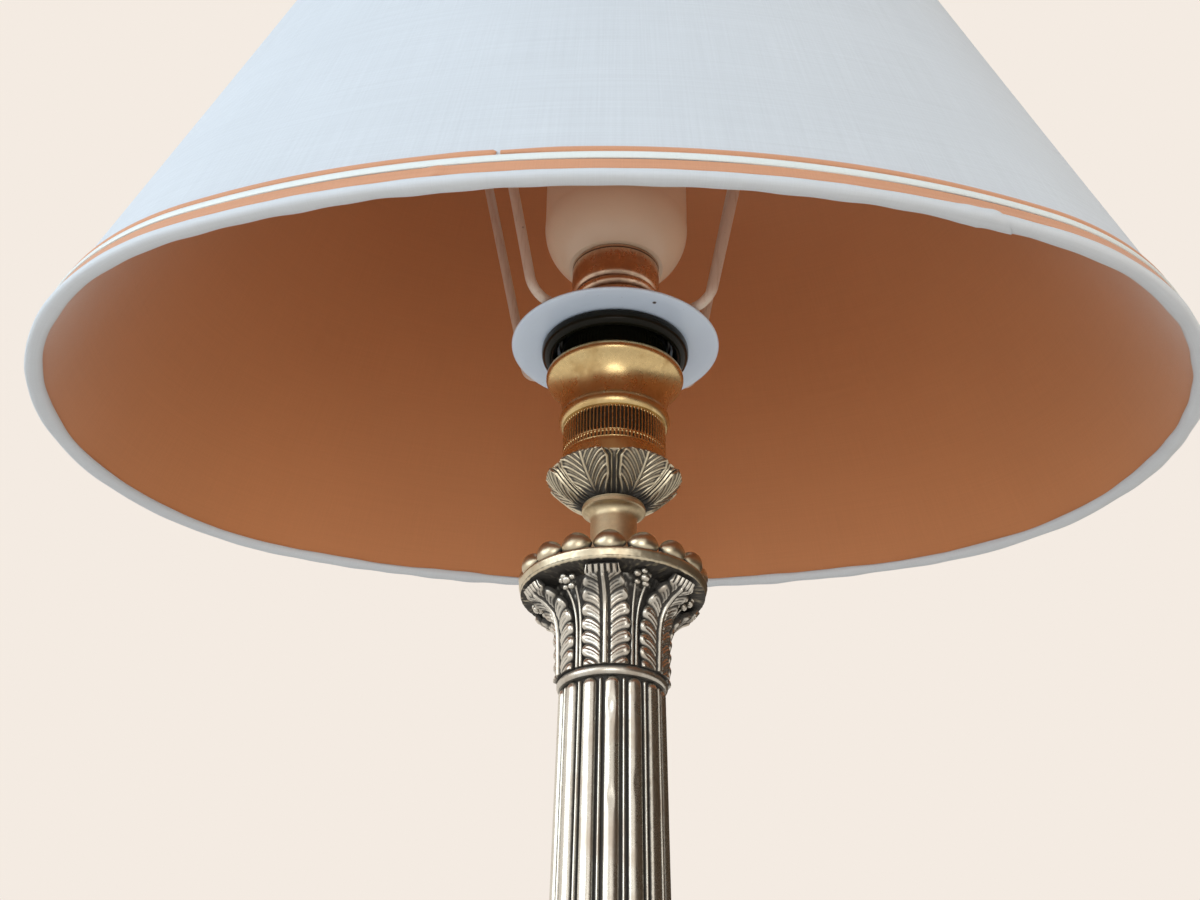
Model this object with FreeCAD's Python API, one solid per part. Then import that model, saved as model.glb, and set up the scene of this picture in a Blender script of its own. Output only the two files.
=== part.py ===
"""Column table lamp: reeded column with a leaf capital, screw holder, oval fabric shade and bulb.

Millimetres. +Z is up, the origin is the centre of the base's underside, and the front faces -Y.
The long axis of the oval shade is X. One STEP file is written for each sub-part.
"""
import FreeCAD, Part
import math
import os

from FreeCAD import Vector

# ---------------------------------------------------------------- driving dimensions
CLEAR = 0.3                 # gap between pieces that move past each other
TUBE_BORE_R = 5.2           # hole that lets the threaded tube through each column piece

# base
FELT_T = 2.0
FELT_W = 110.0
PLINTH_W = 118.0            # width over the lower block of the square plinth
PLINTH_LEDGE_W = 112.0
PLINTH_TOP_W = 96.0
PLINTH_BLOCK_Z = 25.0
PLINTH_LEDGE_Z = 28.5
PLINTH_COVE_Z = 36.0
PLINTH_TOP_Z = 39.0
PLINTH_WALL = 4.0
PLINTH_CEILING_Z = 21.0     # underside of the plinth's top plate, round the recess
RECESS_R = 29.0             # round recess over the wiring chamber
RECESS_Z = 33.0
ATTIC_TOP_Z = 70.0          # top of the round moulded base
FOOT_RING_TOP_Z = 74.0

# column
SHAFT_TOP_Z = 330.0
SHAFT_TOP_R = 14.6
SHAFT_TAPER = 0.0176        # growth of the radius per millimetre downwards
REEDS = 14
SHAFT_BORE_R = 10.5
ASTRAGAL_TOP_Z = 332.5
ASTRAGAL_R = 15.05
BELL_TOP_Z = 358.0
BELL_R = 14.3
ABACUS_TOP_Z = 361.2
ABACUS_R = 26.3
ABACUS_BEADS = 16
BEAD_RING_R = 23.6
BEAD_TOP_Z = 367.4
LEAVES = 6
LEAF_R = 25.0               # reach of the curled leaf tips
SPOOL_BASE_Z = 365.0
SPOOL_WAIST_R = 6.6
SPOOL_FLANGE_R = 9.1
SPOOL_TOP_Z = 385.5
CUP_BASE_Z = 386.3
CUP_LIP_Z = 396.0
CUP_R = 19.7

# holder
CAP_BASE_Z = 388.2
CAP_R = 15.0
CAP_INNER_R = 13.7
CAP_FOOT_R = 10.6           # foot of the barrel, inside the leaf cup
SLOTS = 84
SLOT_Z = 401.8
CAP_TOP_Z = 412.2
SKIRT_TOP_Z = 430.7
SKIRT_R = 20.5
SLEEVE_R = 15.9
SLEEVE_INNER_R = 14.3
SLEEVE_BASE_Z = 425.6
SLEEVE_TOP_Z = 451.2
SLEEVE_MOUTH_R = 13.8
INSERT_BASE_Z = 402.0
INSERT_TOP_Z = 437.0
LOCK_RING_R = 22.1
LOCK_RING_Z = 435.8
DISC_Z = 440.3
DISC_T = 1.2
DISC_R = 31.3

# bulb
CAP_TIP_Z = 443.9
COLLAR_TOP_Z = 470.2
COLLAR_R = 13.45
THREAD_R = 13.15
THREAD_ROOT_R = 12.3
THREAD_PITCH = 3.629
HOUSING_R = 22.25
HOUSING_TOP_Z = 514.0
LAMP_TUBE_R = 5.2
LAMP_TUBE_TOP_Z = 573.5

# oval shade: half axes of the cover's outer face at the rim and at the top
RIM_Z = 412.7
SHADE_TOP_Z = 630.0
RIM_A, RIM_B = 168.8, 112.8
TOP_A, TOP_B = 75.5, 57.5
SIDE_ARC = 0.875            # radius of an oval's side arcs over its short half axis
COVER_T = 0.6
LINING_T = 0.4
RING_WIRE_R = 0.95
WIRE_REACH = 1.045          # half width of a ring wire measured level, across the sloping wall
STRUT_R = 1.5
STRUT_IN_R, STRUT_BEND_R = 22.5, 35.2   # where a strut starts on the disc and where it turns up
TRIM_PROUD = 0.9            # how far tape and trims stand out of the cover
FRAME_TURN = 4.2            # the struts stand turned a little against the oval, in degrees

Z_AXIS = Vector(0, 0, 1)
ORIGIN = Vector(0, 0, 0)


# ---------------------------------------------------------------- shape helpers
def save(name, shape):
    """Write one sub-part and print its volume."""
    solids = shape.Solids
    shape = solids[0] if len(solids) == 1 else Part.makeCompound(solids)
    shape.exportStep("parts/%s.step" % name)
    print("%-24s %2d solid(s) %10.1f mm3 valid %s" % (name, len(solids), shape.Volume, shape.isValid()))


def wire_from(points):
    """Closed wire in the XZ plane from (r, z) corners; an ('arc', (r, z), (r, z)) item is an arc."""
    edges = []
    here = Vector(points[0][0], 0, points[0][1])
    first = here
    for item in list(points[1:]) + [points[0]]:
        if item[0] == "arc":
            through = Vector(item[1][0], 0, item[1][1])
            end = Vector(item[2][0], 0, item[2][1])
            edges.append(Part.Arc(here, through, end).toShape())
        else:
            end = Vector(item[0], 0, item[1])
            if end.distanceToPoint(here) < 1e-7:
                continue
            edges.append(Part.LineSegment(here, end).toShape())
        here = end
    assert here.distanceToPoint(first) < 1e-6
    return Part.Wire(edges)


def face_from(points):
    return Part.makeFace(wire_from(points), "Part::FaceMakerBullseye")


def turned(points, angle=360.0):
    """Solid of revolution about the lamp's axis."""
    return face_from(points).revolve(ORIGIN, Z_AXIS, angle)


def tube(outer, inner, z0, z1):
    """Plain ring between two heights."""
    return turned([(inner, z0), (outer, z0), (outer, z1), (inner, z1)])


def rod(radius, z0, z1, x=0.0, y=0.0):
    return Part.makeCylinder(radius, z1 - z0, Vector(x, y, z0))


def block(width, depth, z0, z1, x=0.0, y=0.0):
    return Part.makeBox(width, depth, z1 - z0, Vector(x - width / 2, y - depth / 2, z0))


def around(shape, count, start=0.0):
    """Copies of a shape at equal turns about the lamp's axis."""
    copies = []
    for k in range(count):
        copy = shape.copy()
        copy.rotate(ORIGIN, Z_AXIS, start + 360.0 * k / count)
        copies.append(copy)
    return copies


def square_moulding(points):
    """Square block whose four sides have one profile, mitred at the corners.

    The points run outwards along the bottom, up the right side and back to the axis.
    """
    left = []
    for before, item in zip(points, points[1:]):
        start = before[2] if before[0] == "arc" else before
        if item[0] == "arc":
            left.append(("arc", (-item[1][0], item[1][1]), (-start[0], start[1])))
        else:
            left.append((-start[0], start[1]))
    outline = points[1:-1] + [(-points[-2][0], points[-2][1])] + left[::-1][1:-1]
    along_y = face_from(outline).extrude(Vector(0, 2 * PLINTH_W, 0))
    along_y.translate(Vector(0, -PLINTH_W, 0))
    along_x = along_y.copy()
    along_x.rotate(ORIGIN, Z_AXIS, 90)
    return along_y.common(along_x)


def toothed_ring(outer, root, inner, z0, z1, teeth, land):
    """Ring with straight slots cut along Z; land is the tooth's share of the pitch."""
    pitch = 2 * math.pi / teeth
    edges = []
    corner = []
    for k in range(teeth):
        a0 = k * pitch - land * pitch / 2
        a1 = k * pitch + land * pitch / 2
        corner += [(root, a0), (outer, a0), (outer, a1), (root, a1)]
    spots = [Vector(r * math.cos(a), r * math.sin(a), z0) for r, a in corner]
    for here, there in zip(spots, spots[1:] + spots[:1]):
        edges.append(Part.LineSegment(here, there).toShape())
    body = Part.Face(Part.Wire(edges)).extrude(Vector(0, 0, z1 - z0))
    return body.cut(rod(inner, z0 - 1, z1 + 1))


def rounded_path(points, radius):
    """Straight runs joined by tangent arcs of one radius."""
    spots = [Vector(*p) for p in points]
    edges = []
    here = spots[0]
    for before, corner, after in zip(spots, spots[1:], spots[2:]):
        way_in = (corner - before).normalize()
        way_out = (after - corner).normalize()
        turn = way_in.getAngle(way_out)
        reach = radius * math.tan(turn / 2)
        start = corner - way_in * reach
        end = corner + way_out * reach
        inward = (way_out - way_in).normalize()
        middle = corner + inward * (radius / math.cos(turn / 2) - radius)
        edges.append(Part.LineSegment(here, start).toShape())
        edges.append(Part.Arc(start, middle, end).toShape())
        here = end
    edges.append(Part.LineSegment(here, spots[-1]).toShape())
    return Part.Wire(edges)


def pipe(path, radius):
    """Round bar along a wire."""
    start = path.OrderedVertexes[0].Point
    tangent = path.OrderedEdges[0].tangentAt(path.OrderedEdges[0].FirstParameter)
    ring = Part.Wire([Part.makeCircle(radius, start, tangent)])
    return path.makePipeShell([ring], True, False)


# ---------------------------------------------------------------- oval of the shade
def oval_axes(z):
    """Half axes of the cover's outer face at a height."""
    share = (z - RIM_Z) / (SHADE_TOP_Z - RIM_Z)
    return RIM_A + (TOP_A - RIM_A) * share, RIM_B + (TOP_B - RIM_B) * share


def oval(z, offset=0.0):
    """Four tangent arcs: two on the sides, two at front and back, moved out by offset."""
    a, b = oval_axes(z)
    side = SIDE_ARC * b
    front = ((a - side) ** 2 + b * b - side * side) / (2 * (b - side))
    side_x = a - side
    front_y = front - b
    angle = math.atan2(front_y, side_x)
    side += offset
    front += offset
    reach_x = side_x + side * math.cos(angle)
    reach_y = side * math.sin(angle)
    east, west = Vector(side_x + side, 0, z), Vector(-side_x - side, 0, z)
    north, south = Vector(0, front - front_y, z), Vector(0, front_y - front, z)
    ne, nw = Vector(reach_x, reach_y, z), Vector(-reach_x, reach_y, z)
    sw, se = Vector(-reach_x, -reach_y, z), Vector(reach_x, -reach_y, z)
    arcs = [(se, east, ne), (ne, north, nw), (nw, west, sw), (sw, south, se)]
    return Part.Wire([Part.Arc(*arc).toShape() for arc in arcs])


def oval_point(z, angle_deg, offset=0.0):
    """Point of the oval in a direction seen from the axis."""
    ray = Part.LineSegment(Vector(0, 0, z), Vector(300 * math.cos(math.radians(angle_deg)),
                                                   300 * math.sin(math.radians(angle_deg)), z))
    return oval(z, offset).distToShape(ray.toShape())[1][0][0]


def oval_band(z0, z1, inner, outer):
    """Wall that follows the cover's slope between two heights and two offsets."""
    skin = Part.makeLoft([oval(z0, outer), oval(z1, outer)], True, True)
    core = Part.makeLoft([oval(z0 - 1, inner), oval(z1 + 1, inner)], True, True)
    return skin.cut(core)


# ---------------------------------------------------------------- base
def make_base():
    save("felt_pad", block(FELT_W, FELT_W, 0, FELT_T))

    half = PLINTH_W / 2
    ledge = PLINTH_LEDGE_W / 2
    top = PLINTH_TOP_W / 2
    rise = PLINTH_COVE_Z - PLINTH_LEDGE_Z
    run = ledge - 1 - top
    cove = ("arc", (top + run * 0.27, PLINTH_LEDGE_Z + rise * 0.33), (top, PLINTH_COVE_Z))
    outline = [(0, FELT_T), (half, FELT_T), (half, PLINTH_BLOCK_Z), (ledge, PLINTH_BLOCK_Z),
               (ledge, PLINTH_LEDGE_Z), (ledge - 1, PLINTH_LEDGE_Z), cove, (top, PLINTH_TOP_Z),
               (0, PLINTH_TOP_Z)]
    plinth = square_moulding(outline)
    hollow = PLINTH_W - 2 * PLINTH_WALL
    plinth = plinth.cut(block(hollow, hollow, FELT_T - 1, PLINTH_CEILING_Z))
    plinth = plinth.cut(rod(RECESS_R, PLINTH_CEILING_Z - 1, RECESS_Z))
    plinth = plinth.cut(rod(TUBE_BORE_R, RECESS_Z - 1, PLINTH_TOP_Z + 1))
    gland_z = 11.5
    gland_y = half - PLINTH_WALL
    plinth = plinth.cut(Part.makeCylinder(6.0, 2 * PLINTH_WALL, Vector(0, gland_y - 2, gland_z),
                                          Vector(0, 1, 0)))
    save("plinth", plinth)

    # bush for the lead: a body in the wall's hole and a flange outside it
    body = Part.makeCylinder(5.95, PLINTH_WALL + 3, Vector(0, gland_y - 3, gland_z), Vector(0, 1, 0))
    flange = Part.makeCylinder(8.0, 1.6, Vector(0, half, gland_z), Vector(0, 1, 0))
    bore = Part.makeCylinder(3.5, 20, Vector(0, gland_y - 5, gland_z), Vector(0, 1, 0))
    save("cord_gland", body.fuse(flange).cut(bore).removeSplitter())

    weight_w = hollow - 1.0
    weight = block(weight_w, weight_w, FELT_T + 0.2, PLINTH_CEILING_Z - 0.2)
    weight = weight.cut(rod(RECESS_R - 1, 0, PLINTH_CEILING_Z + 1))
    cuts = [block(14.0, weight_w / 2, 0, 19.0, 0, weight_w / 4 + 1)]
    head_z = 5.5
    spot = weight_w / 2 - 9
    screw = rod(2.4, head_z, PLINTH_CEILING_Z - 0.05).fuse(rod(4.4, FELT_T + 0.3, head_z))
    screw = screw.removeSplitter().cut(block(9.0, 1.0, FELT_T, FELT_T + 1.6))
    screws = []
    for x in (-spot, spot):
        for y in (-spot, spot):
            cuts += [rod(2.7, 0, 40, x, y), rod(4.8, 0, head_z + 0.1, x, y)]
            one = screw.copy()
            one.translate(Vector(x, y, 0))
            screws.append(one)
    save("base_weight", weight.cut(Part.makeCompound(cuts)))
    save("weight_screws", Part.makeCompound(screws))

    z = PLINTH_TOP_Z
    save("attic_base", turned([
        (TUBE_BORE_R, z), (39.5, z), ("arc", (45.0, z + 6), (39.5, z + 12)), (37.0, z + 12),
        (37.0, z + 14), ("arc", (29.2, z + 18), (30.5, z + 22.5)), (31.5, z + 22.5), (31.5, z + 24),
        ("arc", (34.5, z + 27), (31.5, z + 30)), (27.0, z + 30), (27.0, ATTIC_TOP_Z),
        (TUBE_BORE_R, ATTIC_TOP_Z)]))
    save("foot_ring", turned([
        (TUBE_BORE_R, ATTIC_TOP_Z), (23.0, ATTIC_TOP_Z),
        ("arc", (24.6, ATTIC_TOP_Z + 1.8), (22.4, FOOT_RING_TOP_Z)), (TUBE_BORE_R, FOOT_RING_TOP_Z)]))


def make_hardware():
    """Threaded tube, its nut and washer, the terminal block and the two inner wires."""
    save("threaded_tube", tube(5.0, 3.5, 23.0, 393.0))
    save("tube_washer", tube(14.0, 5.25, RECESS_Z - 1.8, RECESS_Z))
    flats = 17.0
    hexagon = Part.makePolygon([Vector(flats / math.sqrt(3) * math.cos(math.radians(60 * k)),
                                       flats / math.sqrt(3) * math.sin(math.radians(60 * k)),
                                       RECESS_Z - 7.8) for k in range(7)])
    nut = Part.Face(hexagon).extrude(Vector(0, 0, 6)).cut(rod(5.05, 0, 60))
    save("tube_nut", nut)

    block_y, block_z = 21.0, 22.0
    body = block(22.0, 9.0, block_z, RECESS_Z, 0, block_y)
    wire_x = 4.0
    ways = [rod(1.3, 0, 28.0, x, block_y) for x in (-wire_x, wire_x)]
    screw_ways = []
    for x in (-wire_x, wire_x):
        screw_ways.append(Part.makeCylinder(1.6, 6, Vector(x, block_y - 6, 25.0), Vector(0, 1, 0)))
    fixing = rod(1.7, 0, RECESS_Z + 1, 9.0, block_y)
    save("terminal_block", body.cut(Part.makeCompound(ways + screw_ways + [fixing])))
    clamps = []
    for x in (-wire_x, wire_x):
        clamps.append(Part.makeCylinder(1.5, 3.4, Vector(x, block_y - 4.5, 25.0), Vector(0, 1, 0)))
    clamps.append(rod(1.6, block_z, RECESS_Z - 0.1, 9.0, block_y))
    clamps.append(rod(2.8, block_z - 1.6, block_z, 9.0, block_y))
    save("block_screws", Part.makeCompound(clamps[:2] + [clamps[2].fuse(clamps[3])]))

    tube_x, holder_x = 1.35, 7.0
    for name, side in (("live_wire", 1), ("neutral_wire", -1)):
        low = 15.0
        down = Vector(side * wire_x, block_y, low)
        up = Vector(side * tube_x, 0, low)
        middle = (down + up) * 0.5 - Z_AXIS * (down.distanceToPoint(up) / 2)
        foot = [Part.LineSegment(Vector(side * wire_x, block_y, 27.0), down).toShape(),
                Part.Arc(down, middle, up).toShape()]
        bend_z = 397.6
        rise = rounded_path([(side * tube_x, 0, low), (side * tube_x, 0, bend_z - 2.2),
                             (side * holder_x, 0, bend_z + 2.2), (side * holder_x, 0, 406.0)], 2.6)
        save(name, pipe(Part.Wire(foot + rise.Edges), 0.9))


# ---------------------------------------------------------------- column
def reed_outline(z, radius):
    """Section of the shaft: wide round reeds with a narrow rib in each groove between them."""
    pitch = 2 * math.pi / REEDS
    groove = radius - 1.7
    rib = radius - 0.55
    marks = []
    for k in range(REEDS):
        middle = k * pitch - math.pi / 2
        marks.append(("reed", middle, 0.34 * pitch, groove, radius))
        marks.append(("rib", middle + pitch / 2, 0.075 * pitch, groove, rib))
    edges = []

    def spot(r, a):
        return Vector(r * math.cos(a), r * math.sin(a), z)

    last = None
    first = None
    for _, middle, half_width, low, high in marks:
        start, top, end = spot(low, middle - half_width), spot(high, middle), spot(low, middle + half_width)
        if last is not None:
            edges.append(Part.LineSegment(last, start).toShape())
        else:
            first = start
        edges.append(Part.Arc(start, top, end).toShape())
        last = end
    edges.append(Part.LineSegment(last, first).toShape())
    return Part.Wire(edges)


def make_column():
    length = SHAFT_TOP_Z - FOOT_RING_TOP_Z
    foot_r = SHAFT_TOP_R + SHAFT_TAPER * length
    shaft = Part.makeLoft([reed_outline(FOOT_RING_TOP_Z, foot_r), reed_outline(SHAFT_TOP_Z, SHAFT_TOP_R)],
                          True, True)
    save("column_shaft", shaft.cut(rod(SHAFT_BORE_R, FOOT_RING_TOP_Z - 1, SHAFT_TOP_Z + 1)))
    save("astragal_ring", turned([
        (TUBE_BORE_R, SHAFT_TOP_Z), (ASTRAGAL_R - 0.6, SHAFT_TOP_Z),
        ("arc", (ASTRAGAL_R, SHAFT_TOP_Z + 1.25), (ASTRAGAL_R - 0.6, ASTRAGAL_TOP_Z)),
        (TUBE_BORE_R, ASTRAGAL_TOP_Z)]))
    bell_mid = (ASTRAGAL_TOP_Z + BELL_TOP_Z) / 2
    bell = turned([
        (TUBE_BORE_R, ASTRAGAL_TOP_Z), (BELL_R - 0.4, ASTRAGAL_TOP_Z),
        ("arc", (BELL_R - 0.2, bell_mid), (BELL_R + 2.8, BELL_TOP_Z)), (TUBE_BORE_R, BELL_TOP_Z)])
    save("capital_bell", bell)

    # one leaf: a curled plate, trimmed to a pointed outline, then copied round the bell
    leaf_span = 52.0
    z0, z1 = ASTRAGAL_TOP_Z, BELL_TOP_Z
    plate = turned([
        (BELL_R - 0.3, z0), (BELL_R + 1.5, z0), ("arc", (BELL_R + 1.6, z0 + 7), (BELL_R + 1.9, z0 + 14)),
        ("arc", (BELL_R + 3.3, z0 + 18.2), (LEAF_R - 3.4, z1 - 3.9)),
        ("arc", (LEAF_R - 1.2, z1 - 2.6), (LEAF_R, z1 - 1.0)), (LEAF_R - 0.7, z1 - 0.5),
        ("arc", (LEAF_R - 2.6, z1 - 1.9), (LEAF_R - 4.6, z1 - 2.7)),
        ("arc", (BELL_R + 2.2, z0 + 19.5), (BELL_R + 0.4, z0 + 14.5)), (BELL_R - 0.3, z0 + 2)], leaf_span)
    plate.rotate(ORIGIN, Z_AXIS, -leaf_span / 2 - 90)
    outline = face_from([(-5.6, z0), (5.6, z0), ("arc", (6.9, z0 + 10), (6.3, z0 + 18)),
                         ("arc", (5.6, z1 - 3.5), (4.3, z1)), (-4.3, z1),
                         ("arc", (-5.6, z1 - 3.5), (-6.3, z0 + 18)), ("arc", (-6.9, z0 + 10), (-5.6, z0))])
    leaf = plate.common(outline.extrude(Vector(0, -30, 0)))
    leaves = Part.makeCompound(around(leaf, LEAVES, -7.0))
    save("capital_leaves", leaves)

    # between the leaves: a stem with a small scroll under the abacus
    stem = Part.makeCone(1.1, 1.6, 21.0, Vector(0, -BELL_R - 0.6, z0))
    scroll = Part.makeSphere(2.3, Vector(0, -BELL_R - 5.0, z1 - 3.0))
    neck = Part.makeCylinder(1.5, 5.5, Vector(0, -BELL_R - 0.9, z0 + 19), Vector(0, -4.1, 3.5))
    scrolls = Part.makeCompound(around(stem.fuse(neck).fuse(scroll).removeSplitter(), LEAVES, 23.0))
    save("capital_scrolls", scrolls.cut(bell).cut(leaves))

    save("abacus", turned([
        (TUBE_BORE_R, BELL_TOP_Z), (ABACUS_R - 0.9, BELL_TOP_Z), (ABACUS_R, ABACUS_TOP_Z - 0.5),
        (ABACUS_R - 0.4, ABACUS_TOP_Z),
        (19.5, ABACUS_TOP_Z), ("arc", (13.0, ABACUS_TOP_Z + 2.4), (8.0, SPOOL_BASE_Z)),
        (TUBE_BORE_R, SPOOL_BASE_Z)]))
    bead = Part.makeSphere(1.0)
    stretch = FreeCAD.Matrix()
    stretch.scale(4.5, 3.3, 3.6)
    bead = bead.transformGeometry(stretch)
    bead.translate(Vector(0, -BEAD_RING_R + 0.4, BEAD_TOP_Z - 3.6))
    bead = bead.cut(rod(40, ABACUS_TOP_Z - 5, ABACUS_TOP_Z))
    save("abacus_beads", Part.makeCompound(around(bead, ABACUS_BEADS, -2.5)))

    z = SPOOL_BASE_Z
    save("spool_neck", turned([
        (TUBE_BORE_R, z), (8.8, z), (8.8, z + 1.4), ("arc", (7.1, z + 4.2), (SPOOL_WAIST_R, z + 8.5)),
        (SPOOL_WAIST_R, SPOOL_TOP_Z - 4.2),
        ("arc", (7.1, SPOOL_TOP_Z - 2.5), (SPOOL_FLANGE_R - 0.4, SPOOL_TOP_Z - 1.3)),
        (SPOOL_FLANGE_R, SPOOL_TOP_Z - 1.0), (SPOOL_FLANGE_R, SPOOL_TOP_Z), (TUBE_BORE_R, SPOOL_TOP_Z)]))
    save("cup_washer", tube(SPOOL_FLANGE_R - 0.3, TUBE_BORE_R, SPOOL_TOP_Z, CUP_BASE_Z))

    wall = 1.4
    cup = turned([
        (TUBE_BORE_R, CUP_BASE_Z), (9.0, CUP_BASE_Z),
        ("arc", (15.0, CUP_BASE_Z + 3.7), (CUP_R, CUP_LIP_Z - 0.8)), (CUP_R - 0.5, CUP_LIP_Z),
        (CUP_R - wall, CUP_LIP_Z - 0.6), ("arc", (14.6, CUP_BASE_Z + 4.9), (11.0, CUP_BASE_Z + 1.8)),
        (TUBE_BORE_R, CUP_BASE_Z + 1.8)])
    notch = Part.makeCylinder(2.4, 12, Vector(0, -CUP_R + 3.5, CUP_LIP_Z + 0.6), Vector(0, -1, 0))
    save("leaf_cup", cup.cut(Part.makeCompound(around(notch, LEAVES))))


# ---------------------------------------------------------------- holder
def make_holder():
    floor = 2.6
    lower = turned([
        (TUBE_BORE_R - 0.15, CAP_BASE_Z), (CAP_FOOT_R, CAP_BASE_Z), (CAP_FOOT_R, CAP_BASE_Z + 1.0),
        (CAP_R, CAP_BASE_Z + 6.6), (CAP_R, SLOT_Z),
        (CAP_INNER_R, SLOT_Z), (CAP_INNER_R, CAP_BASE_Z + 7.2), (CAP_FOOT_R - 1.4, CAP_BASE_Z + floor),
        (TUBE_BORE_R - 0.15, CAP_BASE_Z + floor)])
    slotted = toothed_ring(CAP_R, CAP_R - 0.6, CAP_INNER_R, SLOT_Z, CAP_TOP_Z, SLOTS, 0.58)
    save("holder_cap", lower.fuse(slotted))

    z = CAP_TOP_Z
    save("holder_skirt", turned([
        (CAP_INNER_R + 0.3, z), (15.4, z), ("arc", (16.3, z + 2.1), (15.6, z + 4.2)),
        ("arc", (16.4, z + 10.4), (SKIRT_R - 0.7, z + 15.4)),
        ("arc", (SKIRT_R, z + 17.0), (SKIRT_R - 0.6, SKIRT_TOP_Z)), (SKIRT_R - 1.6, SKIRT_TOP_Z),
        (SKIRT_R - 1.7, z + 15.9), ("arc", (15.3, z + 10.6), (14.4, z + 5.0)), (CAP_INNER_R + 0.3, z + 3.0)]))

    insert = turned([
        (0, INSERT_BASE_Z), (13.3, INSERT_BASE_Z), (13.3, 421.0), (SLEEVE_INNER_R - 0.2, 424.0),
        (SLEEVE_INNER_R - 0.2, INSERT_TOP_Z), (0, INSERT_TOP_Z)])
    wire_ways = [rod(1.3, INSERT_BASE_Z - 1, 409.0, x) for x in (-7.0, 7.0)]
    screw_ways = [Part.makeCylinder(1.7, 9, Vector(x, -14, 404.5), Vector(0, 1, 0)) for x in (-7.0, 7.0)]
    save("holder_insert", insert.cut(Part.makeCompound(wire_ways + screw_ways)))
    save("holder_screws", Part.makeCompound([
        Part.makeCylinder(1.6, 5.0, Vector(x, -10.3, 404.5), Vector(0, 1, 0)) for x in (-7.0, 7.0)]))

    save("screw_shell", turned([
        (8.5, INSERT_TOP_Z), (14.1, INSERT_TOP_Z), (14.1, INSERT_TOP_Z + 12.4), (13.55, INSERT_TOP_Z + 12.4),
        (13.55, INSERT_TOP_Z + 0.6), (8.5, INSERT_TOP_Z + 0.6)]))
    tongue_w = 5.0
    tongue = face_from([
        (-6.5, INSERT_TOP_Z), (2.0, INSERT_TOP_Z), (2.0, INSERT_TOP_Z + 0.5), (-5.5, INSERT_TOP_Z + 0.5),
        (3.8, CAP_TIP_Z - 0.9), (3.8, CAP_TIP_Z - 0.4), (-0.5, CAP_TIP_Z - 0.4), (-6.5, INSERT_TOP_Z + 1.0)])
    tongue = tongue.extrude(Vector(0, tongue_w, 0))
    tongue.translate(Vector(0, -tongue_w / 2, 0))
    save("contact_tongue", tongue)

    lower = toothed_ring(SLEEVE_R, SLEEVE_R - 0.4, SLEEVE_INNER_R, 430.4, 437.2, 90, 0.55)
    plain = tube(SLEEVE_R, SLEEVE_INNER_R, SLEEVE_BASE_Z, 430.4)
    upper = turned([
        (SLEEVE_INNER_R, 437.2), (SLEEVE_R, 437.2), (SLEEVE_R, SLEEVE_TOP_Z), (SLEEVE_MOUTH_R, SLEEVE_TOP_Z),
        (SLEEVE_MOUTH_R, SLEEVE_TOP_Z - 1.4), (SLEEVE_INNER_R, SLEEVE_TOP_Z - 1.4)])
    save("holder_sleeve", plain.fuse(lower).fuse(upper))

    ring_bore = SLEEVE_R + 0.1
    z = LOCK_RING_Z
    save("lower_lock_ring", turned([
        (ring_bore, z + 0.8), (17.3, z + 0.8), (17.3, z + 2.6), (18.6, z + 2.6), (18.6, z), (19.8, z),
        (LOCK_RING_R, z + 2.0), (LOCK_RING_R, DISC_Z - CLEAR), (ring_bore, DISC_Z - CLEAR)]))
    z = DISC_Z + DISC_T + CLEAR
    ring = tube(20.0, ring_bore, z, z + 4.6)
    grip = around(Part.makeCylinder(1.3, 8, Vector(20.6, 0, z - 1)), 20)
    save("upper_lock_ring", ring.cut(Part.makeCompound(grip)))


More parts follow.
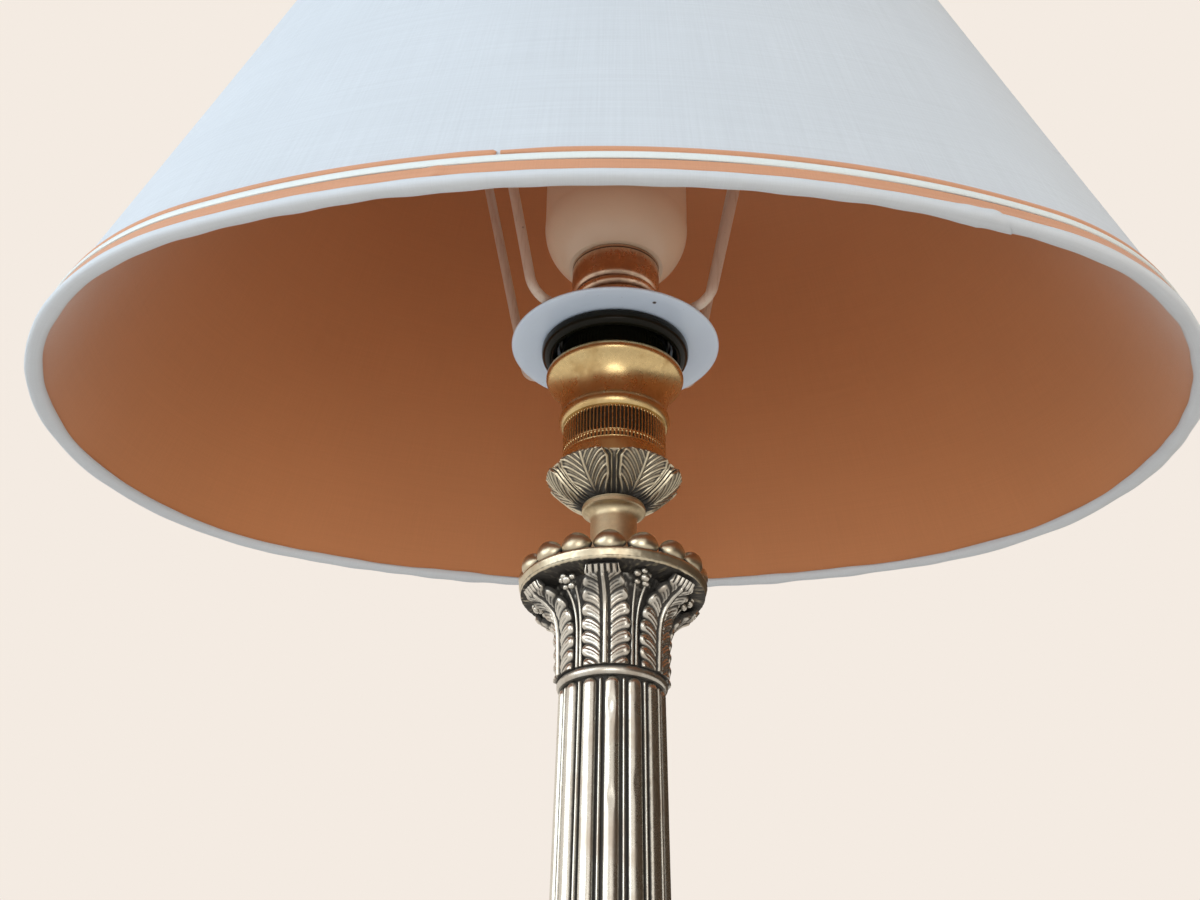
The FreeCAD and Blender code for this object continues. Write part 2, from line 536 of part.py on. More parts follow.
# ---------------------------------------------------------------- bulb
def make_bulb():
    save("bulb_tip", turned([
        (0, CAP_TIP_Z), (3.2, CAP_TIP_Z), ("arc", (4.3, CAP_TIP_Z + 0.4), (4.7, CAP_TIP_Z + 1.2)),
        (0, CAP_TIP_Z + 1.2)]))
    z = CAP_TIP_Z + 1.2 + 0.05
    save("bulb_insulator", turned([(0, z), (5.2, z), (11.2, z + 2.2), (11.2, z + 3.4), (0, z + 3.4)]))

    # thread of the cap: rounded crests one pitch apart under a plain collar
    crest_z = COLLAR_TOP_Z - 8.6
    outline = [(10.9, z + 1.9), (11.6, z + 1.9)]
    crests = 4
    low = crest_z - (crests - 0.5) * THREAD_PITCH
    outline.append((THREAD_ROOT_R, low))
    for k in range(crests):
        outline.append(("arc", (THREAD_R, low + THREAD_PITCH / 2), (THREAD_ROOT_R, low + THREAD_PITCH)))
        low += THREAD_PITCH
    outline += [(12.6, COLLAR_TOP_Z - 6.4), (COLLAR_R, COLLAR_TOP_Z - 5.6), (COLLAR_R, COLLAR_TOP_Z - 0.4),
                (13.2, COLLAR_TOP_Z), (12.2, COLLAR_TOP_Z), (12.2, z + 4.5), (11.3, z + 3.5), (11.3, z + 2.1)]
    save("bulb_cap", turned(outline))

    z = COLLAR_TOP_Z
    wall = 1.2
    save("bulb_housing", turned([
        (12.6, z + 0.02), (14.6, z + 0.02), ("arc", (20.6, z + 7.2), (HOUSING_R, z + 17.0)),
        (HOUSING_R, HOUSING_TOP_Z - 3.0), ("arc", (21.4, HOUSING_TOP_Z - 0.8), (19.4, HOUSING_TOP_Z)),
        (0, HOUSING_TOP_Z), (0, HOUSING_TOP_Z - wall), (HOUSING_R - 3.0, HOUSING_TOP_Z - wall),
        (HOUSING_R - wall, HOUSING_TOP_Z - 4.0), (HOUSING_R - wall, z + 17.0),
        ("arc", (19.5, z + 7.9), (14.2, z + 1.2)), (12.6, z + 1.2)]))
    board = rod(18.5, 492.0, 493.6)
    coil = rod(6.0, 493.6, 505.0, -7.0, 2.0)
    capacitor = rod(4.0, 478.0, 492.0, 6.0, -3.0)
    save("bulb_ballast", board.fuse(coil).fuse(capacitor).removeSplitter())

    leg = 6.5
    spread = 12.5
    straight = LAMP_TUBE_TOP_Z - LAMP_TUBE_R - leg
    path = Part.Wire([
        Part.LineSegment(Vector(spread, -leg, HOUSING_TOP_Z), Vector(spread, -leg, straight)).toShape(),
        Part.Arc(Vector(spread, -leg, straight), Vector(spread, 0, straight + leg),
                 Vector(spread, leg, straight)).toShape(),
        Part.LineSegment(Vector(spread, leg, straight), Vector(spread, leg, HOUSING_TOP_Z)).toShape()])
    save("bulb_tubes", Part.makeCompound(around(pipe(path, LAMP_TUBE_R), 3, 90.0)))


# ---------------------------------------------------------------- shade
def make_shade():
    save("fitter_disc", tube(DISC_R, SLEEVE_R + 0.8, DISC_Z, DISC_Z + DISC_T))

    wire_in = COVER_T + WIRE_REACH + 0.05
    rim_wire_z = RIM_Z + 1.05 + RING_WIRE_R
    top_wire_z = SHADE_TOP_Z - 1.05 - RING_WIRE_R
    save("bottom_ring", pipe(oval(rim_wire_z, -wire_in), RING_WIRE_R))
    save("top_ring", pipe(oval(top_wire_z, -wire_in), RING_WIRE_R))

    lining_out = -COVER_T - 2 * WIRE_REACH - 0.15
    lining_in = lining_out - LINING_T
    outside, inside = 2.7, 1.9      # heights of the tape on the two faces of the shade

    # four struts: out along the disc, then up to the lining just under the top tape
    strut_top_z = SHADE_TOP_Z - inside - STRUT_R - 0.3
    foot_z = DISC_Z + DISC_T + STRUT_R
    struts = []
    for foot_at, top_at in ((43.0, 25.0), (137.0, 155.0), (223.0, 205.0), (317.0, 335.0)):
        way = math.radians(foot_at + FRAME_TURN)
        start = (STRUT_IN_R * math.cos(way), STRUT_IN_R * math.sin(way), foot_z)
        corner = (STRUT_BEND_R * math.cos(way), STRUT_BEND_R * math.sin(way), foot_z)
        end = oval_point(strut_top_z, top_at + FRAME_TURN, lining_in - STRUT_R - 0.25)
        struts.append(pipe(rounded_path([start, corner, (end.x, end.y, end.z)], 6.0), STRUT_R))
    save("shade_struts", Part.makeCompound(struts))

    edge = 1.05
    save("shade_cover", oval_band(RIM_Z + edge, SHADE_TOP_Z - edge, -COVER_T, 0.0))
    save("shade_lining", oval_band(RIM_Z + edge, SHADE_TOP_Z - edge, lining_in, lining_out))

    # rolled tape over the rim: a channel that wraps cover, ring and lining
    tape_in = lining_in - 0.65
    z0, z1 = RIM_Z, RIM_Z + outside
    groove = oval_band(z0 + edge - 0.05, z1 + 1, lining_in - 0.05, 0.05)
    shoulder = oval_band(z0 + inside, z1 + 1, tape_in - 1, lining_in + 1)
    save("rim_tape", oval_band(z0, z1, tape_in, TRIM_PROUD).cut(groove).cut(shoulder))
    z0, z1 = SHADE_TOP_Z - outside, SHADE_TOP_Z
    groove = oval_band(z0 - 1, z1 - edge + 0.05, lining_in - 0.05, 0.05)
    shoulder = oval_band(z0 - 1, z1 - inside, tape_in - 1, lining_in + 1)
    save("top_tape", oval_band(z0, z1, tape_in, TRIM_PROUD).cut(groove).cut(shoulder))

    # trims glued round the cover, in order from the tape: flat band, round cord, thin piping
    gap = 0.05
    band_h, cord_h, piping_h = 3.8, 2.5, 2.3
    z = RIM_Z + outside + gap
    save("rim_band", oval_band(z, z + band_h, gap, 0.5))
    save("rim_cord", oval_band(z + band_h + gap, z + band_h + cord_h, gap, TRIM_PROUD))
    save("rim_piping", oval_band(z + band_h + cord_h + gap, z + band_h + cord_h + piping_h, gap, TRIM_PROUD))
    z = SHADE_TOP_Z - outside - gap
    save("top_band", oval_band(z - band_h, z, gap, 0.5))
    save("top_cord", oval_band(z - band_h - cord_h, z - band_h - gap, gap, TRIM_PROUD))
    save("top_piping", oval_band(z - band_h - cord_h - piping_h, z - band_h - cord_h - gap, gap, TRIM_PROUD))


os.makedirs("parts", exist_ok=True)
make_base()
make_hardware()
make_column()
make_holder()
make_bulb()
make_shade()
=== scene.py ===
"""Looks of a column table lamp: carved metal, holder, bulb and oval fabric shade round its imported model.

The front faces -Y and +Z is up. Mesh code works in millimetres and writes metres. Angles round the
lamp's axis start at the front and grow towards +X.
"""

import math

import bmesh
import bpy
import mathutils
import numpy as np
from bpy.props import FloatProperty, FloatVectorProperty, IntProperty, PointerProperty
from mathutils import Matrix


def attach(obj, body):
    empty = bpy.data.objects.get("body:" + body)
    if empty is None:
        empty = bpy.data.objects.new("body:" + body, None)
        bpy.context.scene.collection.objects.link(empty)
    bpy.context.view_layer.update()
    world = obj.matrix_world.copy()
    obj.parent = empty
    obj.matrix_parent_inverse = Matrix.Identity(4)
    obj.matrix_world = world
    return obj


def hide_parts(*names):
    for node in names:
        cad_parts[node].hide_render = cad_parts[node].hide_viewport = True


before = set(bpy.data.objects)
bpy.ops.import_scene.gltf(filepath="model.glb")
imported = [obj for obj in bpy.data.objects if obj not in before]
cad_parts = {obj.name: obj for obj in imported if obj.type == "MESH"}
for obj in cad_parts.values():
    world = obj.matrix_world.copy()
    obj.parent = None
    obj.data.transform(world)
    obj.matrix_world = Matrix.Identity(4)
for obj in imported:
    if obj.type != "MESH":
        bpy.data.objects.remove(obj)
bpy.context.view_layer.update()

bl_info = {
    "name": "Column table lamp",
    "version": (1, 0, 0),
    "blender": (4, 5, 0),
    "location": "3D View > Sidebar > Lamp",
    "description": "Builds the ornament, fabrics and finishes of a column table lamp round its frame",
    "category": "Add Mesh",
}

MM = 0.001
TURN = 2 * math.pi

# heights and radii of the frame, in millimetres
FOOT_Z, SHAFT_TOP_Z, ASTRAGAL_Z, BELL_TOP_Z, ABACUS_Z, SPOOL_Z = 74.0, 330.0, 332.5, 358.0, 361.2, 365.0
CUP_BASE_Z, CUP_LIP_Z = 386.3, 396.0
TUBE_BORE_R = 5.2
RIM_Z, SHADE_TOP_Z = 412.7, 630.0
RIM_A, RIM_B, TOP_A, TOP_B, SIDE_ARC = 168.8, 112.8, 75.5, 57.5, 0.875
COVER_T, COVER_LAP_T = 0.6, 0.62
LINING_OUT, LINING_IN = -2.84, -3.24
SHAFT_TOP_R, SHAFT_TAPER, SHAFT_BORE_R = 14.6, 0.0176, 10.5
BARREL_R = 15.0
BEAD_RING_R = 23.2
THREAD_ROOT_R, THREAD_CREST_R, THREAD_PITCH = 12.3, 13.15, 3.629
FELT_HALF = 54.7
FLOOR_HALF, FLOOR_Z, CARD_R = 2400.0, -0.3, 1900.0
WALL_LEAN = math.radians(19.0)
COVER_LAP, TAPE_LAP = 0.013, 0.011      # shares of a turn
CLOTH_EDGE = 1.05                       # from the edge of the cover and the lining to the shade's end

# the picture, in pixels
PICTURE_W, PICTURE_H = 1200.0, 900.0
FOCAL_LENGTH, AXIS_ROW, AXIS_SHIFT = 1546.0, 501.0, 6.0


def length(name, default, text):
    return FloatProperty(name=name, description=text, default=default, min=0.0, subtype="DISTANCE",
                         unit="LENGTH")


def colour(name, default, text):
    return FloatVectorProperty(name=name, description=text, default=default, min=0.0, max=1.0, size=3,
                               subtype="COLOR")


class LampSizes(bpy.types.PropertyGroup):
    """Sizes of the ornament and the fabrics."""
    reeds: IntProperty(name="Reeds", description="Reeds round the shaft", default=14, min=6, max=40)
    reed_depth: length("Reed depth", 0.0017, "Height of a reed over the groove beside it")
    dent_depth: length("Dent depth", 0.00045, "Deepest of the small knocks on the front reed")
    leaves: IntProperty(name="Leaves", description="Leaves round the capital and round the cup", default=6,
                        min=3, max=12)
    lobe_pitch: length("Lobe pitch", 0.0038, "Distance between two lobes of a capital leaf")
    leaf_relief: length("Leaf relief", 0.0009, "Height of the midrib over the leaf")
    beads: IntProperty(name="Beads", description="Beads round the abacus", default=16, min=8, max=40)
    slots: IntProperty(name="Slots", description="Slots round the holder's barrel", default=84, min=20,
                       max=160)
    weave_pitch: length("Weave pitch", 0.00052, "Distance between two threads of the shade's cover")
    lining_pitch: length("Lining pitch", 0.00040, "Distance between two threads of the lining")
    cord_radius: length("Cord radius", 0.00122, "Half height of the satin cord round the shade")
    tape_ripple: length("Tape ripple", 0.00022, "Unevenness of the rolled tape")


class LampColours(bpy.types.PropertyGroup):
    """Colours of the finishes, as linear values."""
    silver: colour("Silvered brass", (0.68, 0.665, 0.60), "Worn silver over brass on the raised parts")
    gold: colour("Golden brass", (0.72, 0.555, 0.28), "Lacquered brass of the holder")
    gilt: colour("Old gilt", (0.64, 0.585, 0.44), "Gold rubbed thin over silver on the abacus, beads and cup")
    patina: colour("Patina", (0.062, 0.058, 0.052), "Black left in the hollows")
    tarnish: colour("Tarnish", (0.30, 0.19, 0.10), "Brown blotches on the metal")
    cover: colour("Cover", (0.655, 0.715, 0.775), "Outer fabric of the shade")
    lining: colour("Lining", (0.605, 0.252, 0.099), "Inner fabric of the shade")
    tape: colour("Tape", (0.66, 0.715, 0.765), "Rolled tape over the rims")
    trim: colour("Trim", (0.66, 0.33, 0.19), "Flat band and piping")
    satin: colour("Satin", (0.78, 0.86, 0.86), "Round cord")
    # the enamel's pale blue is painted cool window light on a disc that is white under other light
    enamel: colour("Enamel", (0.65, 0.79, 1.0), "Painted wire frame and disc")
    plastic: colour("Bulb plastic", (0.86, 0.72, 0.56), "Housing of the bulb")
    backdrop: colour("Backdrop", (0.905, 0.831, 0.761), "Floor and background")


class LampStage(bpy.types.PropertyGroup):
    """Camera and lights."""
    camera_back: length("Camera distance", 0.391, "Distance of the camera in front of the lamp's axis")
    camera_height: length("Camera height", 0.1802, "Height of the camera")
    camera_pitch: FloatProperty(name="Camera pitch", description="Angle of the camera above the horizon",
                                default=math.radians(28.04), subtype="ANGLE", unit="ROTATION")
    camera_turn: FloatProperty(name="Camera turn", description="Turn of the camera to the left",
                               default=math.radians(0.83), subtype="ANGLE", unit="ROTATION")
    camera_roll: FloatProperty(name="Camera roll", description="Lean of the camera to its left",
                               default=math.radians(0.9), subtype="ANGLE", unit="ROTATION")
    window_power: FloatProperty(name="Window power", description="Cool light from the left", default=17.0,
                                min=0.0, subtype="POWER", unit="POWER")
    room_power: FloatProperty(name="Room power", description="Warm light from the right", default=3.6,
                              min=0.0, subtype="POWER", unit="POWER")


# ---------------------------------------------------------------- mesh helpers
def smooth(low, high, x):
    """0 below low, 1 above high and a soft step between them."""
    t = np.clip((x - low) / (high - low), 0.0, 1.0)
    return t * t * (3 - 2 * t)


def bump(x, width):
    """Rounded ridge of height 1 at x = 0."""
    return np.exp(-(x / width) ** 2)


def ring_spots(angle, radius, z):
    """Points on circles round the lamp's axis."""
    angle, radius, z = np.broadcast_arrays(angle, radius, z)
    return np.stack([radius * np.sin(angle), -radius * np.cos(angle), z], -1)


def run_along(corners):
    """Distance of each corner of a line from its first one."""
    return np.concatenate([[0], np.cumsum(np.linalg.norm(np.diff(corners, axis=0), axis=1))])


def resampled(corners, steps):
    """Points at equal steps along a broken line, and their distances along it."""
    corners = np.array(corners, float)
    run = run_along(corners)
    at = np.linspace(0, run[-1], steps)
    return np.stack([np.interp(at, run, corners[:, k]) for k in range(corners.shape[1])], -1), at


def arc_through(start, via, end, steps):
    """Points of the circular arc through three (r, z) corners."""
    (x1, y1), (x2, y2), (x3, y3) = start, via, end
    q1, q2, q3 = (x * x + y * y for x, y in (start, via, end))
    d = 2 * (x1 * (y2 - y3) + x2 * (y3 - y1) + x3 * (y1 - y2))
    cx = (q1 * (y2 - y3) + q2 * (y3 - y1) + q3 * (y1 - y2)) / d
    cy = (q1 * (x3 - x2) + q2 * (x1 - x3) + q3 * (x2 - x1)) / d
    a0, a1, a2 = (math.atan2(y - cy, x - cx) for x, y in (start, via, end))
    turn = (a2 - a0) % TURN
    if (a1 - a0) % TURN > turn:
        turn -= TURN
    angles = a0 + turn * np.linspace(0, 1, steps)
    radius = math.hypot(x1 - cx, y1 - cy)
    return np.stack([cx + radius * np.cos(angles), cy + radius * np.sin(angles)], -1)


def spline(corners, steps):
    """Smooth curve through (r, z) corners, at equal steps along it."""
    corners = np.array(corners, float)
    padded = np.vstack([2 * corners[0] - corners[1], corners, 2 * corners[-1] - corners[-2]])
    fine = []
    for p0, p1, p2, p3 in zip(padded, padded[1:], padded[2:], padded[3:]):
        for t in np.linspace(0, 1, 12, endpoint=False):
            fine.append(0.5 * (2 * p1 + (p2 - p0) * t + (2 * p0 - 5 * p1 + 4 * p2 - p3) * t ** 2
                               + (3 * p1 - p0 - 3 * p2 + p3) * t ** 3))
    fine.append(corners[-1])
    return resampled(fine, steps)


def side_normals(profile):
    """Unit normals of an open (r, z) curve that runs upwards, pointing away from the axis."""
    along = np.gradient(profile, axis=0)
    normal = np.stack([along[:, 1], -along[:, 0]], -1)
    return normal / np.linalg.norm(normal, axis=1, keepdims=True)


def blurred(field, reach, axis, wrap):
    """Running mean along one axis."""
    pads = [(0, 0), (0, 0)]
    pads[axis] = (reach, reach)
    wide = np.pad(field, pads, mode="wrap" if wrap else "edge")
    total = np.cumsum(wide, axis=axis)
    lead = np.take(total, [0], axis=axis) * 0
    total = np.concatenate([lead, total], axis=axis)
    size, count = 2 * reach + 1, field.shape[axis]
    upper = np.take(total, range(size, size + count), axis=axis)
    return (upper - np.take(total, range(count), axis=axis)) / size


def relief_of(height, reach_u, reach_v, depth, wrap_u=False, wrap_v=False):
    """-1 in grooves, 0 on flat ground and +1 on ridges."""
    ground = blurred(blurred(height, reach_u, 0, wrap_u), reach_v, 1, wrap_v)
    return np.clip((height - ground) / depth, -1, 1)


def grain(shape, seed, reach=1):
    """Even random field from -1 to 1 that closes on itself along both axes."""
    field = np.random.default_rng(seed).random(shape) * 2 - 1
    for _ in range(2):
        field = blurred(blurred(field, reach, 0, True), reach, 1, True)
    return field / np.abs(field).max()


def waves(x, seed, count=5, slowest=1):
    """Sum of a few sines of x (in turns) with seeded phases, about -1 to 1, closed over one turn."""
    rng = np.random.default_rng(seed)
    total = 0
    for k in range(slowest, slowest + count):
        total = total + np.sin(TURN * (k * x + rng.random())) / count ** 0.5
    return total


class Mould:
    """Gathers the surfaces of one piece, in millimetres, and makes its object."""

    def __init__(self):
        self.spots, self.faces, self.cloth, self.relief = [], [], [], []
        self.count = 0

    def grid(self, points, wrap_u=False, wrap_v=False, cap_u=False, cap_v=False, relief=None, cloth=None):
        """Quads over points[u, v]. A cap closes both ends of the other, wrapped direction."""
        nu, nv = points.shape[:2]
        spans = np.arange(nu if wrap_u else nu - 1), np.arange(nv if wrap_v else nv - 1)
        i, j = (index.ravel() for index in np.meshgrid(*spans, indexing="ij"))
        corners = [(i, j), (i + 1, j), (i + 1, j + 1), (i, j + 1)]
        quads = np.stack([self.count + (a % nu) * nv + b % nv for a, b in corners], -1)
        self.faces += quads.tolist()
        if cloth is None:
            self.cloth.append(np.zeros((quads.size, 2)))
        else:
            self.cloth.append(np.stack([cloth[a, b] for a, b in corners], 1).reshape(-1, 2))
        ends = []
        if cap_u:
            ends += [[self.count + row * nv + k for k in range(nv)] for row in (0, nu - 1)]
        if cap_v:
            ends += [[self.count + k * nv + column for k in range(nu)] for column in (0, nv - 1)]
        for end in ends:
            self.faces.append(end)
            self.cloth.append(np.zeros((len(end), 2)))
        self.spots.append(points.reshape(-1, 3))
        self.relief.append(np.zeros(nu * nv) if relief is None else np.broadcast_to(relief, (nu, nv)).ravel())
        self.count += nu * nv

    def blob(self, centre, radii, lean):
        """Small closed egg; lean tips it outwards about the tangent through its centre."""
        rings, spokes = 9, 14
        polar = np.linspace(0.12, math.pi - 0.12, rings)[:, None]
        round_it = np.arange(spokes)[None, :] * TURN / spokes
        x = np.sin(polar) * np.cos(round_it) * radii[0]
        y = np.sin(polar) * np.sin(round_it) * radii[1]
        z = np.cos(polar) * radii[2] * np.ones_like(round_it)
        angle, radius, height = centre
        out = y * math.cos(lean) - z * math.sin(lean)
        up = y * math.sin(lean) + z * math.cos(lean)
        points = ring_spots(angle + x / radius, radius + out, height + up)
        self.grid(points, wrap_v=True, cap_u=True, relief=0.1)

    def rod(self, path, radius):
        """Round bar along a list of points."""
        spokes = 8
        path = np.array(path, float)
        along = np.gradient(path, axis=0)
        along /= np.linalg.norm(along, axis=1, keepdims=True)
        side = np.cross(along, [0.13, 0.21, 0.97])
        side /= np.linalg.norm(side, axis=1, keepdims=True)
        third = np.cross(along, side)
        turn = np.arange(spokes) * TURN / spokes
        radius = np.broadcast_to(radius, len(path))[:, None, None]
        points = path[:, None] + radius * (side[:, None] * np.cos(turn)[None, :, None]
                                           + third[:, None] * np.sin(turn)[None, :, None])
        self.grid(points, wrap_v=True, cap_u=True, relief=0.1)

    def make(self, name, body, slot, *replaced, sharp=50.0):
        """The finished object, riding on its body and standing for the CAD nodes it replaces."""
        mesh = bpy.data.meshes.new(name)
        mesh.from_pydata((np.concatenate(self.spots) * MM).tolist(), [], self.faces)
        mesh.uv_layers.new(name="cloth").data.foreach_set("uv", np.concatenate(self.cloth).ravel())
        mark = mesh.attributes.new("relief", "FLOAT", "POINT")
        mark.data.foreach_set("value", np.concatenate(self.relief).astype(np.float32))
        work = bmesh.new()
        work.from_mesh(mesh)
        bmesh.ops.recalc_face_normals(work, faces=work.faces)
        work.to_mesh(mesh)
        work.free()
        mesh.shade_smooth()
        mesh.set_sharp_from_angle(angle=math.radians(sharp))
        obj = bpy.data.objects.new(name, mesh)
        bpy.context.scene.collection.objects.link(obj)
        obj.data.materials.append(finish(slot))
        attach(obj, body)
        if replaced:
            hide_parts(*replaced)
        return obj


# ---------------------------------------------------------------- oval of the shade
def oval(turn, z, offset=0.0):
    """Points and level outward normals of the shade's oval. turn goes once round from the front."""
    turn, z, offset = np.broadcast_arrays(turn, z, offset)
    share = (z - RIM_Z) / (SHADE_TOP_Z - RIM_Z)
    a = RIM_A + (TOP_A - RIM_A) * share
    b = RIM_B + (TOP_B - RIM_B) * share
    side = SIDE_ARC * b
    front = ((a - side) ** 2 + b * b - side * side) / (2 * (b - side))
    side_x, front_y = a - side, front - b
    half = math.pi / 2 - np.arctan2(front_y, side_x)
    place = (turn % 1.0) * 4
    arc = np.floor(place + 0.5).astype(int) % 4
    along = place - np.floor(place + 0.5)
    flat = arc % 2 == 0
    lean = np.where(flat, along * 2 * half, along * 2 * (math.pi / 2 - half)) + arc * math.pi / 2
    nx, ny = np.sin(lean), -np.cos(lean)
    radius = np.where(flat, front, side) + offset
    cx = np.where(arc == 1, side_x, np.where(arc == 3, -side_x, 0))
    cy = np.where(arc == 0, front_y, np.where(arc == 2, -front_y, 0))
    points = np.stack([cx + radius * nx, cy + radius * ny, z], -1)
    return points, np.stack([nx, ny, np.zeros_like(nx)], -1)


def oval_girth(z):
    """Length round the oval at a height."""
    points = oval(np.linspace(0, 1, 721), z)[0]
    return np.linalg.norm(np.diff(points, axis=0), axis=1).sum()


# ---------------------------------------------------------------- shader helpers
class Nodes:
    """Adds nodes to one tree, setting inputs and linking them."""

    def __init__(self, tree):
        self.tree = tree

    def add(self, kind, inputs=None, **settings):
        node = self.tree.nodes.new(kind)
        for name, value in settings.items():
            setattr(node, name, value)
        for name, value in (inputs or {}).items():
            if isinstance(value, bpy.types.NodeSocket):
                self.tree.links.new(value, node.inputs[name])
            else:
                node.inputs[name].default_value = value
        return node

    def math(self, operation, a, b=0.0, clamp=False):
        return self.add("ShaderNodeMath", {0: a, 1: b}, operation=operation, use_clamp=clamp).outputs[0]

    def mix(self, share, a, b, blend="MIX"):
        node = self.add("ShaderNodeMix", data_type="RGBA", blend_type=blend)
        for socket, value in zip((node.inputs[0], node.inputs[6], node.inputs[7]), (share, a, b)):
            if isinstance(value, bpy.types.NodeSocket):
                self.tree.links.new(value, socket)
            else:
                socket.default_value = value
        return node.outputs[2]

    def ramp(self, value, low, high, out_low=0.0, out_high=1.0):
        node = self.add("ShaderNodeMapRange", {0: value, 1: low, 2: high, 3: out_low, 4: out_high},
                        interpolation_type="SMOOTHSTEP")
        return node.outputs[0]

    def noise(self, scale, place=None, detail=3.0, rough=0.55):
        node = self.add("ShaderNodeTexNoise", {"Scale": scale, "Detail": detail, "Roughness": rough})
        if place is not None:
            self.tree.links.new(place, node.inputs["Vector"])
        return node.outputs[0]

    def stretched(self, place, scale):
        return self.add("ShaderNodeVectorMath", {0: place, 1: scale}, operation="MULTIPLY").outputs[0]


def opaque(rgb):
    return (*rgb, 1.0)


def shader_group(name, inputs, outputs):
    """Empty node group with the given sockets: name -> default, or name -> kind for outputs."""
    group = bpy.data.node_groups.new(name, "ShaderNodeTree")
    kinds = {float: "NodeSocketFloat", tuple: "NodeSocketColor"}
    for label, default in inputs.items():
        kind = "NodeSocketVector" if default is None else kinds[type(default)]
        socket = group.interface.new_socket(label, in_out="INPUT", socket_type=kind)
        if default is not None:
            socket.default_value = default
    for label, kind in outputs.items():
        group.interface.new_socket(label, in_out="OUTPUT", socket_type=kinds[kind])
    nodes = Nodes(group)
    return group, nodes, nodes.add("NodeGroupInput").outputs, nodes.add("NodeGroupOutput").inputs


def tarnish_group():
    """Metal with dark patina in hollows, brown blotches and small dark specks."""
    group, n, given, out = shader_group(
        "tarnished_metal",
        {"Bright": opaque((0.6, 0.6, 0.6)), "Dark": opaque((0.0, 0.0, 0.0)), "Warm": opaque((0.3, 0.2, 0.1)),
         "Relief": 0.0, "Grime": 0.5, "Stains": 0.2, "Polish": 0.25},
        {"Color": tuple, "Roughness": float, "Bare": float, "Height": float})
    place = n.add("ShaderNodeTexCoord").outputs["Object"]
    mottle = n.noise(650.0, place, 5.0, 0.62)
    blotch = n.noise(95.0, place, 4.0, 0.6)
    pits = n.noise(3200.0, place, 2.0)
    reach = n.add("ShaderNodeAmbientOcclusion", {"Distance": 0.0035}, samples=6).outputs["AO"]
    buried = n.math("SUBTRACT", 1.0, reach)
    buried = n.math("MULTIPLY", buried, given["Grime"])
    worn = n.math("MULTIPLY", given["Relief"], 1.15)
    mask = n.math("SUBTRACT", n.math("MULTIPLY", buried, 1.5), worn)
    mask = n.math("ADD", mask, n.math("MULTIPLY", n.math("SUBTRACT", mottle, 0.45), given["Grime"]))
    mask = n.ramp(mask, -0.15, 0.95)
    stain = n.math("MULTIPLY", n.ramp(blotch, 0.46, 0.68), given["Stains"])
    specks = n.math("MULTIPLY", n.ramp(pits, 0.66, 0.74), given["Stains"])
    base = n.mix(stain, given["Bright"], given["Warm"])
    base = n.mix(n.math("MULTIPLY", specks, 0.8), base, given["Dark"])
    n.tree.links.new(n.mix(mask, base, given["Dark"]), out["Color"])
    rough = n.math("ADD", given["Polish"], n.math("MULTIPLY", mask, 0.38))
    rough = n.math("ADD", rough, n.math("MULTIPLY", stain, 0.22))
    rough = n.math("ADD", rough, n.math("MULTIPLY", n.math("SUBTRACT", mottle, 0.5), 0.16), clamp=True)
    n.tree.links.new(rough, out["Roughness"])
    n.tree.links.new(n.ramp(mask, 0.35, 1.0, 1.0, 0.25), out["Bare"])
    height = n.math("ADD", n.math("MULTIPLY", mottle, 0.7), n.math("MULTIPLY", pits, 0.3))
    n.tree.links.new(height, out["Height"])
    return group


def weave_group():
    """Plain weave from a place in millimetres along and across the cloth, with uneven threads."""
    group, n, given, out = shader_group(
        "plain_weave",
        {"Place": None, "Pitch": 0.5, "Light": opaque((0.8, 0.8, 0.8)), "Dark": opaque((0.6, 0.6, 0.6)),
         "Slubs": 0.5},
        {"Color": tuple, "Height": float})
    split = n.add("ShaderNodeSeparateXYZ", {0: given["Place"]}).outputs
    turns = [n.math("DIVIDE", split[k], given["Pitch"]) for k in (0, 1)]
    swing = [n.math("SINE", n.math("MULTIPLY", t, TURN)) for t in turns]
    over = n.math("MULTIPLY", swing[0], swing[1])
    threads = []
    for lead, other in ((0, 1), (1, 0)):
        spot = n.add("ShaderNodeCombineXYZ", {0: turns[lead], 1: n.math("MULTIPLY", turns[other], 0.012),
                                              2: 7.0 * lead}).outputs[0]
        threads.append(n.noise(1.1, spot, 2.0))
    uneven = n.math("SUBTRACT", n.math("ADD", threads[0], threads[1]), 1.0)
    tone = n.math("ADD", n.math("MULTIPLY", over, 0.22), n.math("MULTIPLY", uneven, given["Slubs"]))
    shade = n.math("SUBTRACT", 0.5, tone, clamp=True)
    n.tree.links.new(n.mix(shade, given["Light"], given["Dark"]), out["Color"])
    n.tree.links.new(n.math("ADD", n.math("MULTIPLY", over, 0.5), uneven), out["Height"])
    return group


def edge_group():
    """Mask of outer edges, where a painted reflection of the lining goes, and of small chips."""
    group, n, given, out = shader_group("edge_reflection_and_chips", {"Reach": 0.001, "Chips": 0.5},
                                        {"Edge": float, "Chip": float})
    place = n.add("ShaderNodeTexCoord").outputs["Object"]
    eased = n.add("ShaderNodeBevel", {"Radius": given["Reach"]}, samples=4).outputs[0]
    true = n.add("ShaderNodeNewGeometry").outputs["Normal"]
    same = n.add("ShaderNodeVectorMath", {0: eased, 1: true}, operation="DOT_PRODUCT").outputs["Value"]
    ragged = n.noise(900.0, place, 4.0)
    edge = n.math("SUBTRACT", 1.0, same)
    edge = n.math("ADD", edge, n.math("MULTIPLY", n.math("SUBTRACT", ragged, 0.5), 0.25))
    n.tree.links.new(n.ramp(edge, 0.05, 0.22), out["Edge"])
    chips = n.ramp(n.noise(420.0, place, 5.0, 0.7), 0.66, 0.71)
    n.tree.links.new(n.math("MULTIPLY", chips, given["Chips"]), out["Chip"])
    return group


